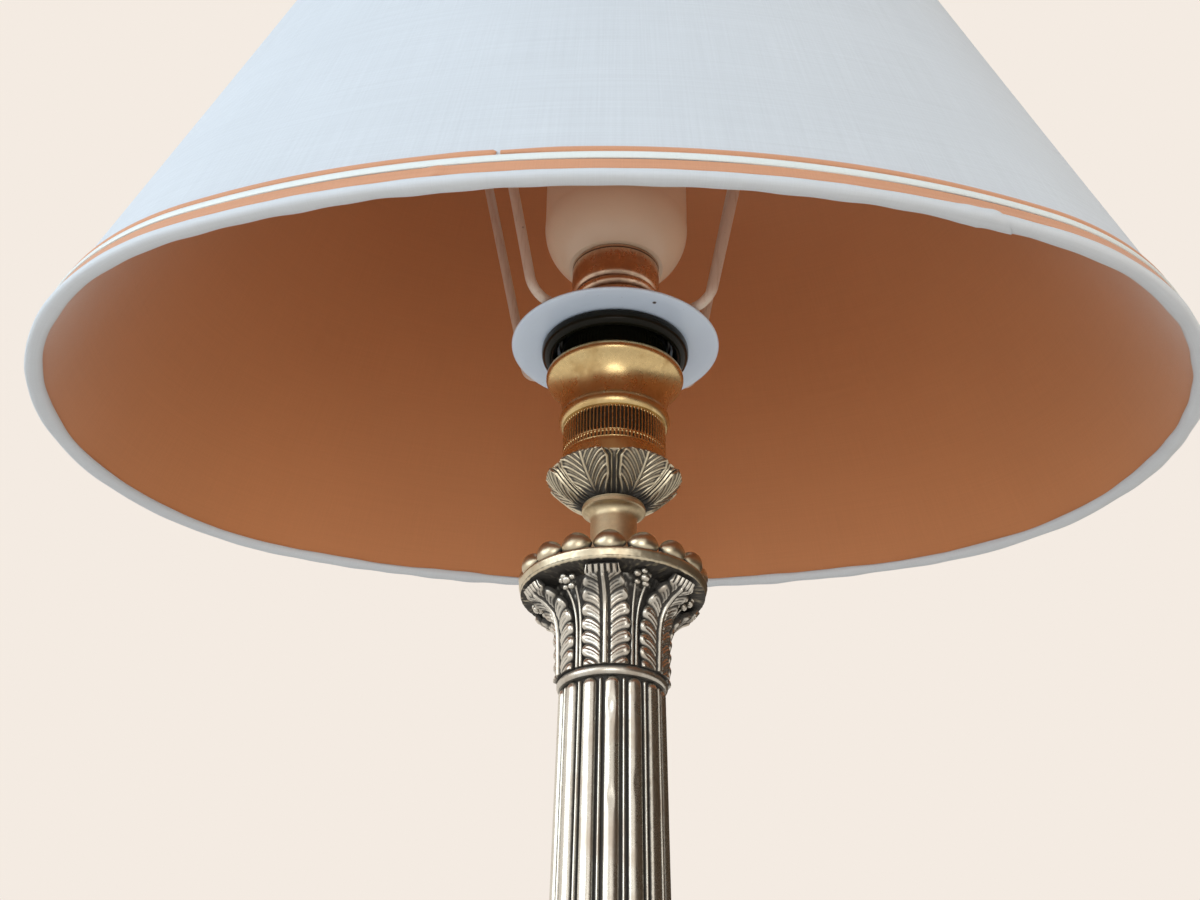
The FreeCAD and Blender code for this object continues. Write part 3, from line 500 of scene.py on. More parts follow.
def dust_group():
    """Mask of settled dust, and a slow change of tone."""
    group, n, given, out = shader_group("dust", {"Amount": 0.3, "Size": 60.0}, {"Dust": float, "Tone": float})
    place = n.add("ShaderNodeTexCoord").outputs["Object"]
    up = n.add("ShaderNodeSeparateXYZ", {0: n.add("ShaderNodeNewGeometry").outputs["Normal"]}).outputs[2]
    specks = n.noise(1500.0, place, 3.0)
    lying = n.math("MULTIPLY", n.ramp(up, 0.2, 1.0), n.ramp(specks, 0.3, 0.75))
    n.tree.links.new(n.math("MULTIPLY", lying, given["Amount"]), out["Dust"])
    slow = n.add("ShaderNodeTexNoise", {"Scale": given["Size"], "Detail": 3.0, "Vector": place}).outputs[0]
    n.tree.links.new(slow, out["Tone"])
    return group


GROUPS = {"tarnished_metal": tarnish_group, "plain_weave": weave_group, "edge_reflection_and_chips": edge_group,
          "dust": dust_group}


def placed(n, name, inputs):
    """One of the shared groups in a material, built when it is first needed."""
    group = bpy.data.node_groups.get(name) or GROUPS[name]()
    return n.add("ShaderNodeGroup", inputs, node_tree=group).outputs


def fresh_material(name):
    """A new material with its Principled shader."""
    material = bpy.data.materials.new(name)
    material.use_nodes = True
    n = Nodes(material.node_tree)
    shader = material.node_tree.nodes["Principled BSDF"]
    return material, n, shader


def connect(n, shader, **sockets):
    """Feeds or sets inputs of the Principled shader; an underscore stands for a space."""
    for name, value in sockets.items():
        socket = shader.inputs[name.replace("_", " ")]
        if isinstance(value, bpy.types.NodeSocket):
            n.tree.links.new(value, socket)
        else:
            socket.default_value = value


def bumped(n, shader, height, strength, distance):
    node = n.add("ShaderNodeBump", {"Strength": strength, "Distance": distance, "Height": height})
    n.tree.links.new(node.outputs[0], shader.inputs["Normal"])


def metal(name, bright, grime, stains, polish, warm, dark, bump_mm=0.02):
    """Cast or turned metal with patina in its hollows."""
    material, n, shader = fresh_material(name)
    relief = n.add("ShaderNodeAttribute", attribute_name="relief").outputs["Fac"]
    worn = placed(n, "tarnished_metal", {"Bright": opaque(bright), "Dark": opaque(dark),
                                         "Warm": opaque(warm), "Relief": relief, "Grime": grime,
                                         "Stains": stains, "Polish": polish})
    connect(n, shader, Base_Color=worn["Color"], Roughness=worn["Roughness"], Metallic=worn["Bare"])
    bumped(n, shader, worn["Height"], 0.5, bump_mm * MM)
    return material


def cloth(name, rgb, pitch_mm, depth, slubs, sheen, rough, bump_mm):
    """Woven cloth with uneven threads; depth is how much darker the gaps between threads are."""
    material, n, shader = fresh_material(name)
    place = n.add("ShaderNodeUVMap", uv_map="cloth").outputs[0]
    dark = opaque([c * (1 - depth) for c in rgb])
    light = opaque([min(1.0, c * (1 + depth * 0.6)) for c in rgb])
    woven = placed(n, "plain_weave", {"Place": place, "Pitch": pitch_mm, "Light": light, "Dark": dark,
                                      "Slubs": slubs})
    slow = placed(n, "dust", {"Amount": 0.0, "Size": 14.0})["Tone"]
    tone = n.ramp(slow, 0.25, 0.75, 0.97, 1.02)
    grey = n.add("ShaderNodeCombineColor", {0: tone, 1: tone, 2: tone}).outputs[0]
    connect(n, shader, Base_Color=n.mix(1.0, woven["Color"], grey, "MULTIPLY"), Roughness=rough,
            Sheen_Weight=sheen, Sheen_Roughness=0.4, Specular_IOR_Level=0.35)
    bumped(n, shader, woven["Height"], 0.6, bump_mm * MM)
    return material


def solid(name, rgb, rough, coat=0.0, dust=0.15, change=0.06, bump_mm=0.01, gloss=0.5):
    """Moulded plastic, glass, porcelain or paint with a slow change of tone, fine grain and dust."""
    material, n, shader = fresh_material(name)
    marks = placed(n, "dust", {"Amount": dust, "Size": 70.0})
    low = opaque([c * (1 - change) for c in rgb])
    high = opaque([min(1.0, c * (1 + change)) for c in rgb])
    place = n.add("ShaderNodeTexCoord").outputs["Object"]
    fine = n.noise(700.0, place, 4.0)
    base = n.mix(marks["Tone"], low, high)
    base = n.mix(marks["Dust"], base, opaque((0.42, 0.39, 0.35)))
    roughness = n.ramp(fine, 0.2, 0.8, rough * 0.85, min(1.0, rough * 1.2))
    connect(n, shader, Base_Color=base, Roughness=roughness, Coat_Weight=coat, Specular_IOR_Level=gloss)
    bumped(n, shader, fine, 0.4, bump_mm * MM)
    return material


def enamel(name, rgb):
    """White paint over steel wire and sheet: tan at the edges as a painted reflection of the salmon lining,
    fine long streaks and chips.
    """
    material, n, shader = fresh_material(name)
    place = n.add("ShaderNodeTexCoord").outputs["Object"]
    reflected_edge_and_chips = placed(n, "edge_reflection_and_chips", {"Reach": 0.0009, "Chips": 0.9})
    streak = n.ramp(n.noise(1.0, n.stretched(place, (1300.0, 1300.0, 40.0)), 3.0), 0.50, 0.72)
    base = n.mix(n.math("MULTIPLY", streak, 0.35), opaque(rgb), opaque((0.42, 0.26, 0.15)))
    # painted reflection: the salmon lining's tan laid on the outer edges
    base = n.mix(n.math("MULTIPLY", reflected_edge_and_chips["Edge"], 0.85), base, opaque((0.40, 0.27, 0.18)))
    base = n.mix(reflected_edge_and_chips["Chip"], base, opaque((0.16, 0.11, 0.08)))
    connect(n, shader, Base_Color=base, Roughness=0.34, Coat_Weight=0.2)
    bumped(n, shader, n.noise(500.0, place, 3.0), 0.25, 0.02 * MM)
    return material


def disc_paint(name, rgb):
    """Paint of the flat disc: a tan edge that is a painted reflection of the lining, faint clouds and one
    dark speck under the front.
    """
    material, n, shader = fresh_material(name)
    place = n.add("ShaderNodeTexCoord").outputs["Object"]
    reflected_edge_and_chips = placed(n, "edge_reflection_and_chips", {"Reach": 0.0008, "Chips": 0.25})
    clouds = placed(n, "dust", {"Amount": 0.12, "Size": 55.0})
    low, high = opaque([c * 0.93 for c in rgb]), opaque([min(1.0, c * 1.06) for c in rgb])
    base = n.mix(clouds["Tone"], low, high)
    # painted reflection: the lining's tan laid on the disc's outer edge
    base = n.mix(n.math("MULTIPLY", reflected_edge_and_chips["Edge"], 0.9), base, opaque((0.38, 0.26, 0.18)))
    far = n.add("ShaderNodeVectorMath", {0: place, 1: (0.0112, -0.0246, 0.4403)}, operation="DISTANCE")
    speck = n.ramp(far.outputs["Value"], 0.00035, 0.00075, 1.0, 0.0)
    base = n.mix(n.math("MAXIMUM", speck, reflected_edge_and_chips["Chip"]), base, opaque((0.07, 0.05, 0.05)))
    connect(n, shader, Base_Color=base, Roughness=0.38, Coat_Weight=0.25)
    bumped(n, shader, n.noise(300.0, place, 3.0), 0.2, 0.03 * MM)
    return material


def finish(slot):
    """The material of one of the frame's finish slots."""
    found = bpy.data.materials.get(slot + "_finish")
    if found:
        return found
    c = bpy.context.scene.lamp_colours
    sizes = bpy.context.scene.lamp_sizes
    dark, warm = tuple(c.patina), tuple(c.tarnish)
    name = slot + "_finish"
    recipes = {
        "silvered_brass": lambda: metal(name, c.silver, 0.60, 0.35, 0.27, warm, dark, 0.03),
        "golden_brass": lambda: metal(name, c.gold, 0.40, 0.55, 0.26, (0.50, 0.32, 0.12),
                                      (0.05, 0.03, 0.015)),
        "old_gilt": lambda: metal(name, c.gilt, 0.55, 0.30, 0.30, (0.30, 0.18, 0.07), dark, 0.03),
        "contact_brass": lambda: metal(name, (0.66, 0.52, 0.27), 0.3, 0.2, 0.25, warm, dark),
        "plated_steel": lambda: metal(name, (0.56, 0.55, 0.50), 0.4, 0.3, 0.3, (0.3, 0.24, 0.16), dark),
        "grey_iron": lambda: metal(name, (0.14, 0.14, 0.14), 0.6, 0.3, 0.5, (0.16, 0.09, 0.05), dark, 0.12),
        "nickel_plate": lambda: metal(name, (0.80, 0.63, 0.48), 0.35, 0.35, 0.26, (0.3, 0.2, 0.13), dark,
                                      0.01),
        "shade_cloth": lambda: cloth(name, c.cover, sizes.weave_pitch / MM, 0.10, 0.75, 0.15, 0.85, 0.05),
        "salmon_lining": lambda: cloth(name, c.lining, sizes.lining_pitch / MM, 0.12, 0.45, 0.90, 0.55, 0.04),
        "white_tape": lambda: cloth(name, c.tape, 0.34, 0.12, 0.5, 0.2, 0.8, 0.04),
        "salmon_trim": lambda: cloth(name, c.trim, 0.42, 0.16, 0.6, 0.3, 0.7, 0.05),
        "satin_cord": lambda: cloth(name, c.satin, 0.22, 0.10, 0.5, 0.5, 0.38, 0.03),
        "green_felt": lambda: cloth(name, (0.035, 0.12, 0.06), 0.9, 0.35, 1.2, 0.6, 0.95, 0.25),
        "white_enamel": lambda: enamel(name, (0.68, 0.58, 0.49)),
        "bulb_plastic": lambda: solid(name, c.plastic, 0.34, 0.15, 0.25, 0.05),
        "black_bakelite": lambda: solid(name, (0.008, 0.008, 0.005), 0.20, 0.0, 0.03, 0.3, 0.01, gloss=0.15),
        "porcelain": lambda: solid(name, (0.72, 0.70, 0.65), 0.2, 0.6, 0.1, 0.05),
        "block_plastic": lambda: solid(name, (0.70, 0.69, 0.63), 0.45, 0.0, 0.2, 0.05),
        "black_glass": lambda: solid(name, (0.008, 0.008, 0.010), 0.08, 0.8, 0.02, 0.2),
        "phosphor_glass": lambda: solid(name, (0.86, 0.87, 0.84), 0.22, 0.5, 0.05, 0.03, 0.004),
        "circuit_board": lambda: solid(name, (0.10, 0.13, 0.05), 0.5, 0.2, 0.2, 0.3),
        "brown_insulation": lambda: solid(name, (0.14, 0.06, 0.025), 0.4, 0.0, 0.1, 0.15),
        "blue_insulation": lambda: solid(name, (0.03, 0.10, 0.34), 0.4, 0.0, 0.1, 0.15),
    }
    if slot not in recipes:
        raise RuntimeError("no finish for slot " + slot)
    return recipes[slot]()


def done(operator):
    """Bookkeeping shared by the operators."""
    operator.report({"INFO"}, operator.bl_label + " made")
    return {"FINISHED"}


# ---------------------------------------------------------------- column
class LAMP_OT_frame_finishes(bpy.types.Operator):
    """Give every node of the frame the finish of its slot"""
    bl_idname = "lamp.frame_finishes"
    bl_label = "Frame finishes"

    def execute(self, context):
        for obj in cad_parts.values():
            for place in obj.material_slots:
                place.material = finish(place.material.name.split(".")[0])
        aged = metal("aged_brass", (0.78, 0.68, 0.46), 0.50, 0.35, 0.40, (0.42, 0.30, 0.16),
                     (0.05, 0.04, 0.03), 0.04)
        for node in ("spool_neck", "cup_washer"):
            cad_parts[node].material_slots[0].material = aged
        return done(self)


class LAMP_OT_shaft(bpy.types.Operator):
    """Reeded shaft: round-topped reeds, a thin rib in each groove and a few knocks"""
    bl_idname = "lamp.shaft"
    bl_label = "Shaft"

    def execute(self, context):
        sizes = context.scene.lamp_sizes
        reeds, deep = sizes.reeds, sizes.reed_depth / MM
        per_reed = 44
        angle = np.arange(reeds * per_reed) * TURN / (reeds * per_reed)
        low = np.linspace(FOOT_Z, 262.0, 48, endpoint=False)
        high = np.linspace(262.0, 322.0, 61, endpoint=False)
        top = np.linspace(322.0, SHAFT_TOP_Z, 33)
        z = np.concatenate([low, high, top])
        radius = SHAFT_TOP_R + SHAFT_TAPER * (SHAFT_TOP_Z - z)
        pitch = TURN / reeds
        lean = (angle + pitch / 2) % pitch - pitch / 2
        from_reed = np.abs(lean)[:, None] * radius[None, :]
        from_rib = (pitch / 2 - np.abs(lean))[:, None] * radius[None, :]

        def ended(distance, half, end_z):
            """Distance from a bar's centre line over its half width, round the bar's end."""
            over = np.maximum(z[None, :] - (end_z - half), 0)
            under = np.maximum((FOOT_Z + 1.0 + half) - z[None, :], 0)
            beyond = over + under
            return np.sqrt(distance ** 2 + beyond ** 2) / half

        reed_half = 0.335 * pitch * radius[None, :]
        rib_half = 0.082 * pitch * radius[None, :]
        reed = ended(from_reed, reed_half, SHAFT_TOP_Z - 0.2)
        rib = ended(from_rib, rib_half, SHAFT_TOP_Z - 0.6)
        height = deep * np.sqrt(np.clip(1 - reed ** 2, 0, 1)) ** 0.85
        height = np.maximum(height, 1.15 * np.sqrt(np.clip(1 - rib ** 2, 0, 1)))
        relief = relief_of(height, 9, 1, 1.0, wrap_u=True)
        relief = np.where(height < 0.35, -1.0, relief)
        height = height + 0.03 * grain(height.shape, 3, 2)
        turn_deg = np.degrees((angle[:, None] + math.pi) % TURN - math.pi)
        for at, at_z, wide, tall, share in ((-2.0, 321.5, 4.5, 2.6, 1.0), (4.0, 318.8, 4.0, 2.2, -0.5),
                                            (-1.0, 296.5, 3.5, 2.2, 0.55), (25.0, 301.0, 3.0, 3.0, 0.4),
                                            (152.0, 240.0, 4.0, 4.0, 0.8), (-104.0, 282.0, 3.5, 3.0, 0.6)):
            knock = np.exp(-((turn_deg - at) / wide) ** 2 - ((z[None, :] - at_z) / tall) ** 2)
            height = height - sizes.dent_depth / MM * share * knock
        outer = ring_spots(angle[:, None], radius[None, :] - deep + height, z[None, :])
        bore = ring_spots(angle[:, None], SHAFT_BORE_R, np.array([SHAFT_TOP_Z, FOOT_Z])[None, :])
        mould = Mould()
        points = np.concatenate([outer, bore], 1)
        relief = np.concatenate([relief, np.zeros((len(angle), 2)) - 1], 1)
        mould.grid(points, wrap_u=True, wrap_v=True, relief=relief)
        mould.make("shaft_reeded", "root", "silvered_brass", "column_shaft")
        return done(self)


def leaf_outline(t):
    """Half width of a capital leaf along its length, at the outermost points of its lobes."""
    return np.interp(t, [0, 3, 8, 14, 18, 22, 25, 27.5, 29.5], [6.1, 6.6, 6.9, 6.8, 6.5, 6.0, 5.3, 4.6, 4.1])


def lobe_phase(d, t, pitch):
    """Count of lobes up to a place: grooves climb away from the midrib and bend over at the edge."""
    return (t - 1.45 * d + 0.118 * d * d + 2.2) / pitch


def leaf_relief(s, t, pitch, rib, end):
    """Height of a capital leaf's face at s across and t along."""
    d = np.abs(s)
    f = lobe_phase(d, t, pitch) % 1.0
    lobe = np.clip(np.sin(math.pi * f), 0, 1) ** 0.6
    ridges = np.abs(np.sin(1.5 * TURN * f)) ** 0.8
    half = leaf_outline(t)
    rim = smooth(half - 2.2, half - 1.0, d)
    inside = smooth(0.75, 1.6, d)
    height = inside * (1 - rim) * (0.36 * lobe + 0.26 * ridges * lobe - 0.12)
    height = height + inside * rim * (0.95 * lobe - 0.35)
    height = height + rib * np.exp(-(d / (0.80 - 0.010 * t)) ** 4) - 0.35 * bump(d - 1.15, 0.32)
    knuckle = np.abs(np.cos(math.pi * s / 1.62)) ** 0.8
    curl = smooth(end - 2.8, end - 1.8, t) * (knuckle - 0.35)
    return height * (1 - smooth(end - 3.0, end - 2.0, t)) + curl


class LAMP_OT_capital(bpy.types.Operator):
    """Capital: granular bell, lobed leaves that curl out under the abacus, stems and small flowers"""
    bl_idname = "lamp.capital"
    bl_label = "Capital"

    def execute(self, context):
        sizes = context.scene.lamp_sizes
        self.make_bell()
        self.make_leaves(sizes)
        self.make_flowers(sizes)
        return done(self)

    def make_bell(self):
        angle = np.arange(420) * TURN / 420
        profile = arc_through((13.9, ASTRAGAL_Z), (14.1, 345.25), (17.1, BELL_TOP_Z), 92)
        normal = side_normals(profile)
        rough = 0.22 * grain((420, 92), 11, 1)
        outer = ring_spots(angle[:, None], profile[:, 0] + rough * normal[:, 0], profile[:, 1])
        bore = ring_spots(angle[:, None], TUBE_BORE_R, np.array([BELL_TOP_Z, ASTRAGAL_Z])[None, :])
        mould = Mould()
        marks = np.concatenate([np.clip(rough * 4 - 0.55, -1, 0.4), np.zeros((420, 2))], 1)
        mould.grid(np.concatenate([outer, bore], 1), wrap_u=True, wrap_v=True, relief=marks)
        mould.make("capital_ground", "root", "silvered_brass", "capital_bell")

    def make_leaves(self, sizes):
        rows, columns = 150, 73
        profile, t = spline([(15.4, ASTRAGAL_Z), (15.5, 338.0), (15.7, 343.5), (16.3, 347.5), (17.7, 350.8),
                             (20.4, 353.4), (23.2, 355.0), (24.8, 356.9)], rows)
        normal = side_normals(profile)
        across = np.linspace(-1, 1, columns)[:, None]
        pitch = sizes.lobe_pitch / MM
        half = leaf_outline(t)[None, :]
        notch = np.abs(np.sin(math.pi * lobe_phase(half, t[None, :], pitch))) ** 0.6
        half = half - (0.95 - 0.95 * notch) * (1 - smooth(t[-1] - 3.0, t[-1] - 2.0, t)[None, :])
        s = across * half
        height = leaf_relief(s, t[None, :] + 0 * s, pitch, sizes.leaf_relief / MM, t[-1])
        height = height - 0.7 * np.abs(across) ** 16
        marks = relief_of(height, 4, 5, 0.34)
        # painted shadow: the leaf just below each curled tip is marked as a hollow, so the patina darkens it
        # like the shade under the curl
        curl_shadow = smooth(t[-1] - 11.0, t[-1] - 7.5, t) * (1 - smooth(t[-1] - 3.0, t[-1] - 2.0, t))
        marks = marks - 0.45 * curl_shadow[None, :]
        front_r = profile[:, 0] + normal[:, 0] * height
        front_z = np.minimum(profile[:, 1] + normal[:, 1] * height, BELL_TOP_Z - 0.1)
        thick = np.interp(t, [0, 15, t[-1]], [1.4, 1.6, 1.3])
        back_across = np.linspace(0.98, -0.98, 7)[:, None]
        back_r = (profile[:, 0] - normal[:, 0] * thick)[None, :] + 0 * back_across
        back_z = np.minimum(profile[:, 1] - normal[:, 1] * thick, BELL_TOP_Z - 0.1)[None, :] + 0 * back_across
        mould = Mould()
        for k in range(sizes.leaves):
            middle = math.radians(-7.0 + 360.0 * k / sizes.leaves)
            front = ring_spots(middle + s / profile[:, 0], front_r, front_z)
            back = ring_spots(middle + back_across * half * 0.98 / profile[:, 0], back_r, back_z)
            marks_all = np.concatenate([marks, np.zeros((7, rows)) - 0.8], 0)
            mould.grid(np.concatenate([front, back], 0), wrap_u=True, cap_v=True, relief=marks_all)
        mould.make("leaves_lobed", "root", "silvered_brass", "capital_leaves")

    def make_flowers(self, sizes):
        mould = Mould()
        rng = np.random.default_rng(9)
        for k in range(sizes.leaves):
            middle = math.radians(23.0 + 360.0 * k / sizes.leaves)
            for side in (-1, 1):
                path = []
                for z in np.linspace(ASTRAGAL_Z + 0.2, 354.5, 24):
                    share = (z - ASTRAGAL_Z) / 22.0
                    out = 14.7 + 4.0 * share ** 5
                    path.append(ring_spots(middle + side * (0.62 + 0.9 * share ** 5) / out, out, z))
                mould.rod(path, np.linspace(0.50, 0.36, 24))
            centre_r, centre_z = 20.2, 355.8
            for x, out, up, size in ((0.2, 0.8, -0.4, 1.15), (-1.9, 0.4, 0.4, 1.0), (1.9, 0.2, 0.7, 0.9),
                                     (-1.0, -0.9, -1.5, 0.8), (1.2, -0.6, -1.3, 0.95), (0.0, 1.5, 0.8, 0.8)):
                x, out, up = np.array([x, out, up]) + 0.7 * (rng.random(3) - 0.5)
                spot = (middle + x / centre_r, centre_r + out, min(centre_z + up, 357.0))
                mould.blob(spot, (size * 1.2, size * 1.0, size * 0.85), 0.5 + rng.random())
        mould.make("flowers_and_stems", "root", "silvered_brass", "capital_scrolls")


class LAMP_OT_abacus(bpy.types.Operator):
    """Abacus: granular underside, hammered band and a ring of long beads in rimmed seats"""
    bl_idname = "lamp.abacus"
    bl_label = "Abacus"

    def execute(self, context):
        sizes = context.scene.lamp_sizes
        beads = sizes.beads
        start = math.radians(-2.5)
        per_bead = 40
        count = beads * per_bead
        angle = start + np.arange(count) * TURN / count
        under, _ = resampled([(TUBE_BORE_R, BELL_TOP_Z), (12.0, BELL_TOP_Z), (25.6, BELL_TOP_Z)], 40)
        edge, _ = spline([(25.30, 358.05), (25.62, 358.5), (25.95, 359.6), (26.22, 360.7),
                          (26.05, 361.15)], 12)
        flat, _ = resampled([(25.6, ABACUS_Z), (19.5, ABACUS_Z)], 26)
        dish = arc_through((19.3, 361.25), (13.0, 363.6), (8.0, SPOOL_Z), 14)
        profile = np.concatenate([under, edge, flat, dish, [(TUBE_BORE_R, SPOOL_Z)]])
        rough = grain((count, len(profile)), 21, 1)
        lift = np.zeros((count, len(profile)))
        marks = np.zeros((count, len(profile)))
        row = np.arange(len(profile))
        is_under = row < len(under)
        is_edge = ~is_under & (row < len(under) + len(edge))
        lift[:, is_under] = -0.30 * np.clip(rough[:, is_under] + 0.2, 0, 1)
        marks[:, is_under] = np.clip(rough[:, is_under], 0, 1) - 0.75
        marks[:, is_edge] = 0.15 + 0.4 * rough[:, is_edge] - 0.8 * bump(profile[is_edge, 1] - 358.75, 0.12)
        pitch = TURN / beads
        lean = (angle - start + pitch / 2) % pitch - pitch / 2
        r = profile[None, :, 0]
        tangent = lean[:, None] * BEAD_RING_R
        place = np.sqrt((tangent / 4.3) ** 2 + ((r - BEAD_RING_R) / 3.3) ** 2)
        top = (~is_under & ~is_edge)[None, :] * (r > 18.0)
        seat = top * (0.55 * bump(place - 1.14, 0.09) - 0.25 * bump(place - 0.98, 0.08))
        seated = 1.6 * bump(place - 1.14, 0.08) - 1.2 * bump(place - 0.95, 0.12) - 0.45
        marks = np.where(top > 0, np.clip(seated, -1, 1), marks)
        z = profile[None, :, 1] + lift + seat
        shrink = 0.035 * rough * is_edge[None, :]
        mould = Mould()
        mould.grid(ring_spots(angle[:, None], r + shrink, z), wrap_u=True, wrap_v=True, relief=marks)
        plate = mould.make("abacus_plate", "root", "silvered_brass", "abacus")
        plate.data.materials[0] = finish("old_gilt")

        mould = Mould()
        along = np.sin(np.linspace(-1, 1, 31) * math.pi / 2)[:, None] * 0.995
        spin = np.arange(28)[None, :] * TURN / 28
        full = (1 - np.abs(along) ** 1.9) ** 0.72
        rng = np.random.default_rng(5)
        for k in range(beads):
            middle = start + pitch * k
            size = 1 + 0.03 * (rng.random(3) - 0.5)
            out = 3.15 * size[0] * full * np.cos(spin)
            up = 3.55 * size[1] * full * np.sin(spin)
            up = np.maximum(up, -2.8)
            points = ring_spots(middle + along * 4.52 * size[2] / 23.3, 23.3 + out, 363.75 + up)
            # the beads' relief is higher over their upper half, lower underneath and lowest at their two ends
            upper_half_lighter = 0.75 * smooth(-0.9, 0.4, np.sin(spin) + 0 * along) - 0.9 * np.abs(along) ** 10
            mould.grid(points, wrap_v=True, cap_u=True, relief=upper_half_lighter)
        long_beads = mould.make("beads_long", "root", "silvered_brass", "abacus_beads")
        long_beads.data.materials[0] = finish("old_gilt")
        return done(self)


class LAMP_OT_leaf_cup(bpy.types.Operator):
    """Cup of six veined leaves with narrow two-ribbed leaflets between them"""
    bl_idname = "lamp.leaf_cup"
    bl_label = "Leaf cup"

    def execute(self, context):
        leaves = context.scene.lamp_sizes.leaves
        per_leaf = 104
        angle = np.arange(leaves * per_leaf) * TURN / (leaves * per_leaf)
        outer, t = resampled(np.concatenate([
            arc_through((9.0, CUP_BASE_Z), (15.0, 390.0), (19.65, 395.2), 40), [(19.45, 395.75)]]), 84)
        normal = side_normals(outer)
        pitch = TURN / leaves
        lean = angle % pitch - pitch / 2
        side = (np.abs(lean)[:, None] * outer[None, :, 0])
        share = t[None, :] / t[-1]
        half = math.radians(24.5) * outer[None, :, 0] * (0.72 + 0.28 * smooth(0.0, 0.45, share)) \
            * (1 - 0.16 * smooth(0.78, 1.0, share))
        along = t[None, :] + 0 * side
        phase = (along - 1.6 * side + 0.075 * side ** 2 + 12.0) / 1.12
        f = phase - np.floor(phase)
        vein = np.sin(math.pi * f) ** 0.8
        inside = smooth(0.35, 0.8, side) * (1 - smooth(half - 0.85, half - 0.45, side))
        minor = 0.62 + 0.38 * np.cos(math.pi * np.floor(phase))
        height = inside * (0.40 * vein * minor - 0.10)
        height = height + 0.50 * bump(side - (half - 0.32), 0.30)
        height = height + 0.42 * bump(side, 0.34)
        gap = (pitch / 2 - np.abs(lean))[:, None] * outer[None, :, 0]
        between = smooth(half + 0.05, half + 0.35, side)
        fork = 0.75 + 0.9 * smooth(0.80, 1.0, share)
        height = height + between * (-0.75 + 0.85 * bump(gap - fork, 0.36))
        height = height - 0.5 * (1 - smooth(0.0, 0.14, share)) * (0.4 + 0.6 * bump(side, 0.8))
        marks = 0.8 * relief_of(height, 4, 3, 0.26, wrap_u=True)
        marks = marks - 0.9 * (1 - smooth(0.05, 0.30, share)) - 0.15
        height = height - 0.35
        dome = smooth(0.0, 1.0, np.clip((math.radians(26.0) - np.abs(lean)) / math.radians(11.0), 0, 1))
        sag = (-0.75 * (1 - dome))[:, None] * smooth(0.72, 1.0, share)
        front = ring_spots(angle[:, None], outer[None, :, 0] + normal[None, :, 0] * height,
                           outer[None, :, 1] + normal[None, :, 1] * height + sag)
        inner = np.array([(19.0, 395.9), (18.4, 395.4), (16.9, 393.4), (14.6, 391.2), (11.0, 388.1),
                          (TUBE_BORE_R, 388.1), (TUBE_BORE_R, CUP_BASE_Z)])
        drop = np.array([1.0, 0.9, 0.3, 0, 0, 0, 0])[None, :] * (-0.75 * (1 - dome))[:, None]
        back = ring_spots(angle[:, None], inner[None, :, 0], inner[None, :, 1] + drop)
        mould = Mould()
        inner_marks = np.array([0.5, 0, -0.5, -1, -1, -1, -1])
        marks = np.concatenate([marks, np.broadcast_to(inner_marks, (len(angle), len(inner)))], 1)
        mould.grid(np.concatenate([front, back], 1), wrap_u=True, wrap_v=True, relief=marks)
        cup = mould.make("cup_of_leaves", "root", "silvered_brass", "leaf_cup")
        cup.data.materials[0] = finish("old_gilt")
        return done(self)


# ---------------------------------------------------------------- holder and bulb
class LAMP_OT_holder_barrel(bpy.types.Operator):
    """Barrel of the holder: a plain foot, a row of ticks and tall slots with rounded ends"""
    bl_idname = "lamp.holder_barrel"
    bl_label = "Holder barrel"

    def execute(self, context):
        slots = context.scene.lamp_sizes.slots
        angle = np.arange(slots * 8) * TURN / (slots * 8)
        z = np.concatenate([np.linspace(394.8, 401.2, 8), np.linspace(401.4, 403.8, 13),
                            np.linspace(404.0, 410.4, 12), np.linspace(410.6, 412.2, 8)])
        pitch = TURN / slots
        gap = np.abs((angle + pitch / 2) % pitch - pitch / 2)[:, None] * BARREL_R
        z_row = z[None, :]

        def cut(low, high, half):
            over = np.maximum(np.maximum(low + half - z_row, z_row - (high - half)), 0)
            return 1 - smooth(0.75, 1.15, np.sqrt(gap ** 2 + over ** 2) / half)

        deep = 0.75 * cut(404.1, 411.7, 0.30) + 0.45 * cut(401.9, 403.4, 0.26)
        deep = deep + 0.08 * bump(z_row - 403.75, 0.16) + 0.10 * bump(z_row - 401.5, 0.18)
        outer = ring_spots(angle[:, None], BARREL_R - deep, z_row)
        foot = np.array([(10.6, 388.2), (10.6, 389.2)])
        inner = np.array([(13.75, 412.2), (13.7, 395.6), (9.2, 390.8), (5.1, 390.8), (5.1, 388.2)])
        mould = Mould()
        low = ring_spots(angle[:, None], foot[None, :, 0], foot[None, :, 1])
        back = ring_spots(angle[:, None], inner[None, :, 0], inner[None, :, 1])
        marks = np.concatenate([np.zeros((len(angle), 2)), np.clip(0.75 - 3.4 * deep, -1, 1),
                                np.zeros((len(angle), 5)) - 1], 1)
        mould.grid(np.concatenate([low, outer, back], 1), wrap_u=True, wrap_v=True, relief=marks)
        mould.make("barrel_slotted", "root", "golden_brass", "holder_cap", sharp=60.0)
        return done(self)


class LAMP_OT_lock_ring(bpy.types.Operator):
    """Glossy ring under the disc, rolled at its lower edge"""
    bl_idname = "lamp.lock_ring"
    bl_label = "Lock ring"

    def execute(self, context):
        angle = np.arange(180) * TURN / 180
        rolled, _ = spline([(17.35, 439.5), (17.45, 438.6), (18.1, 437.2), (18.9, 436.25), (19.9, 435.84),
                            (20.9, 436.05), (21.7, 436.8), (22.08, 437.8), (22.1, 439.2), (21.9, 439.85)], 46)
        section = np.concatenate([rolled, [(21.5, 440.0), (17.6, 440.0)]])
        ripple = 0.02 * waves(angle / TURN, 91, 5, 3)[:, None]
        mould = Mould()
        mould.grid(ring_spots(angle[:, None], section[None, :, 0] + ripple, section[None, :, 1]),
                   wrap_u=True, wrap_v=True)
        mould.make("ring_rolled", "root", "black_bakelite", "lower_lock_ring")
        return done(self)


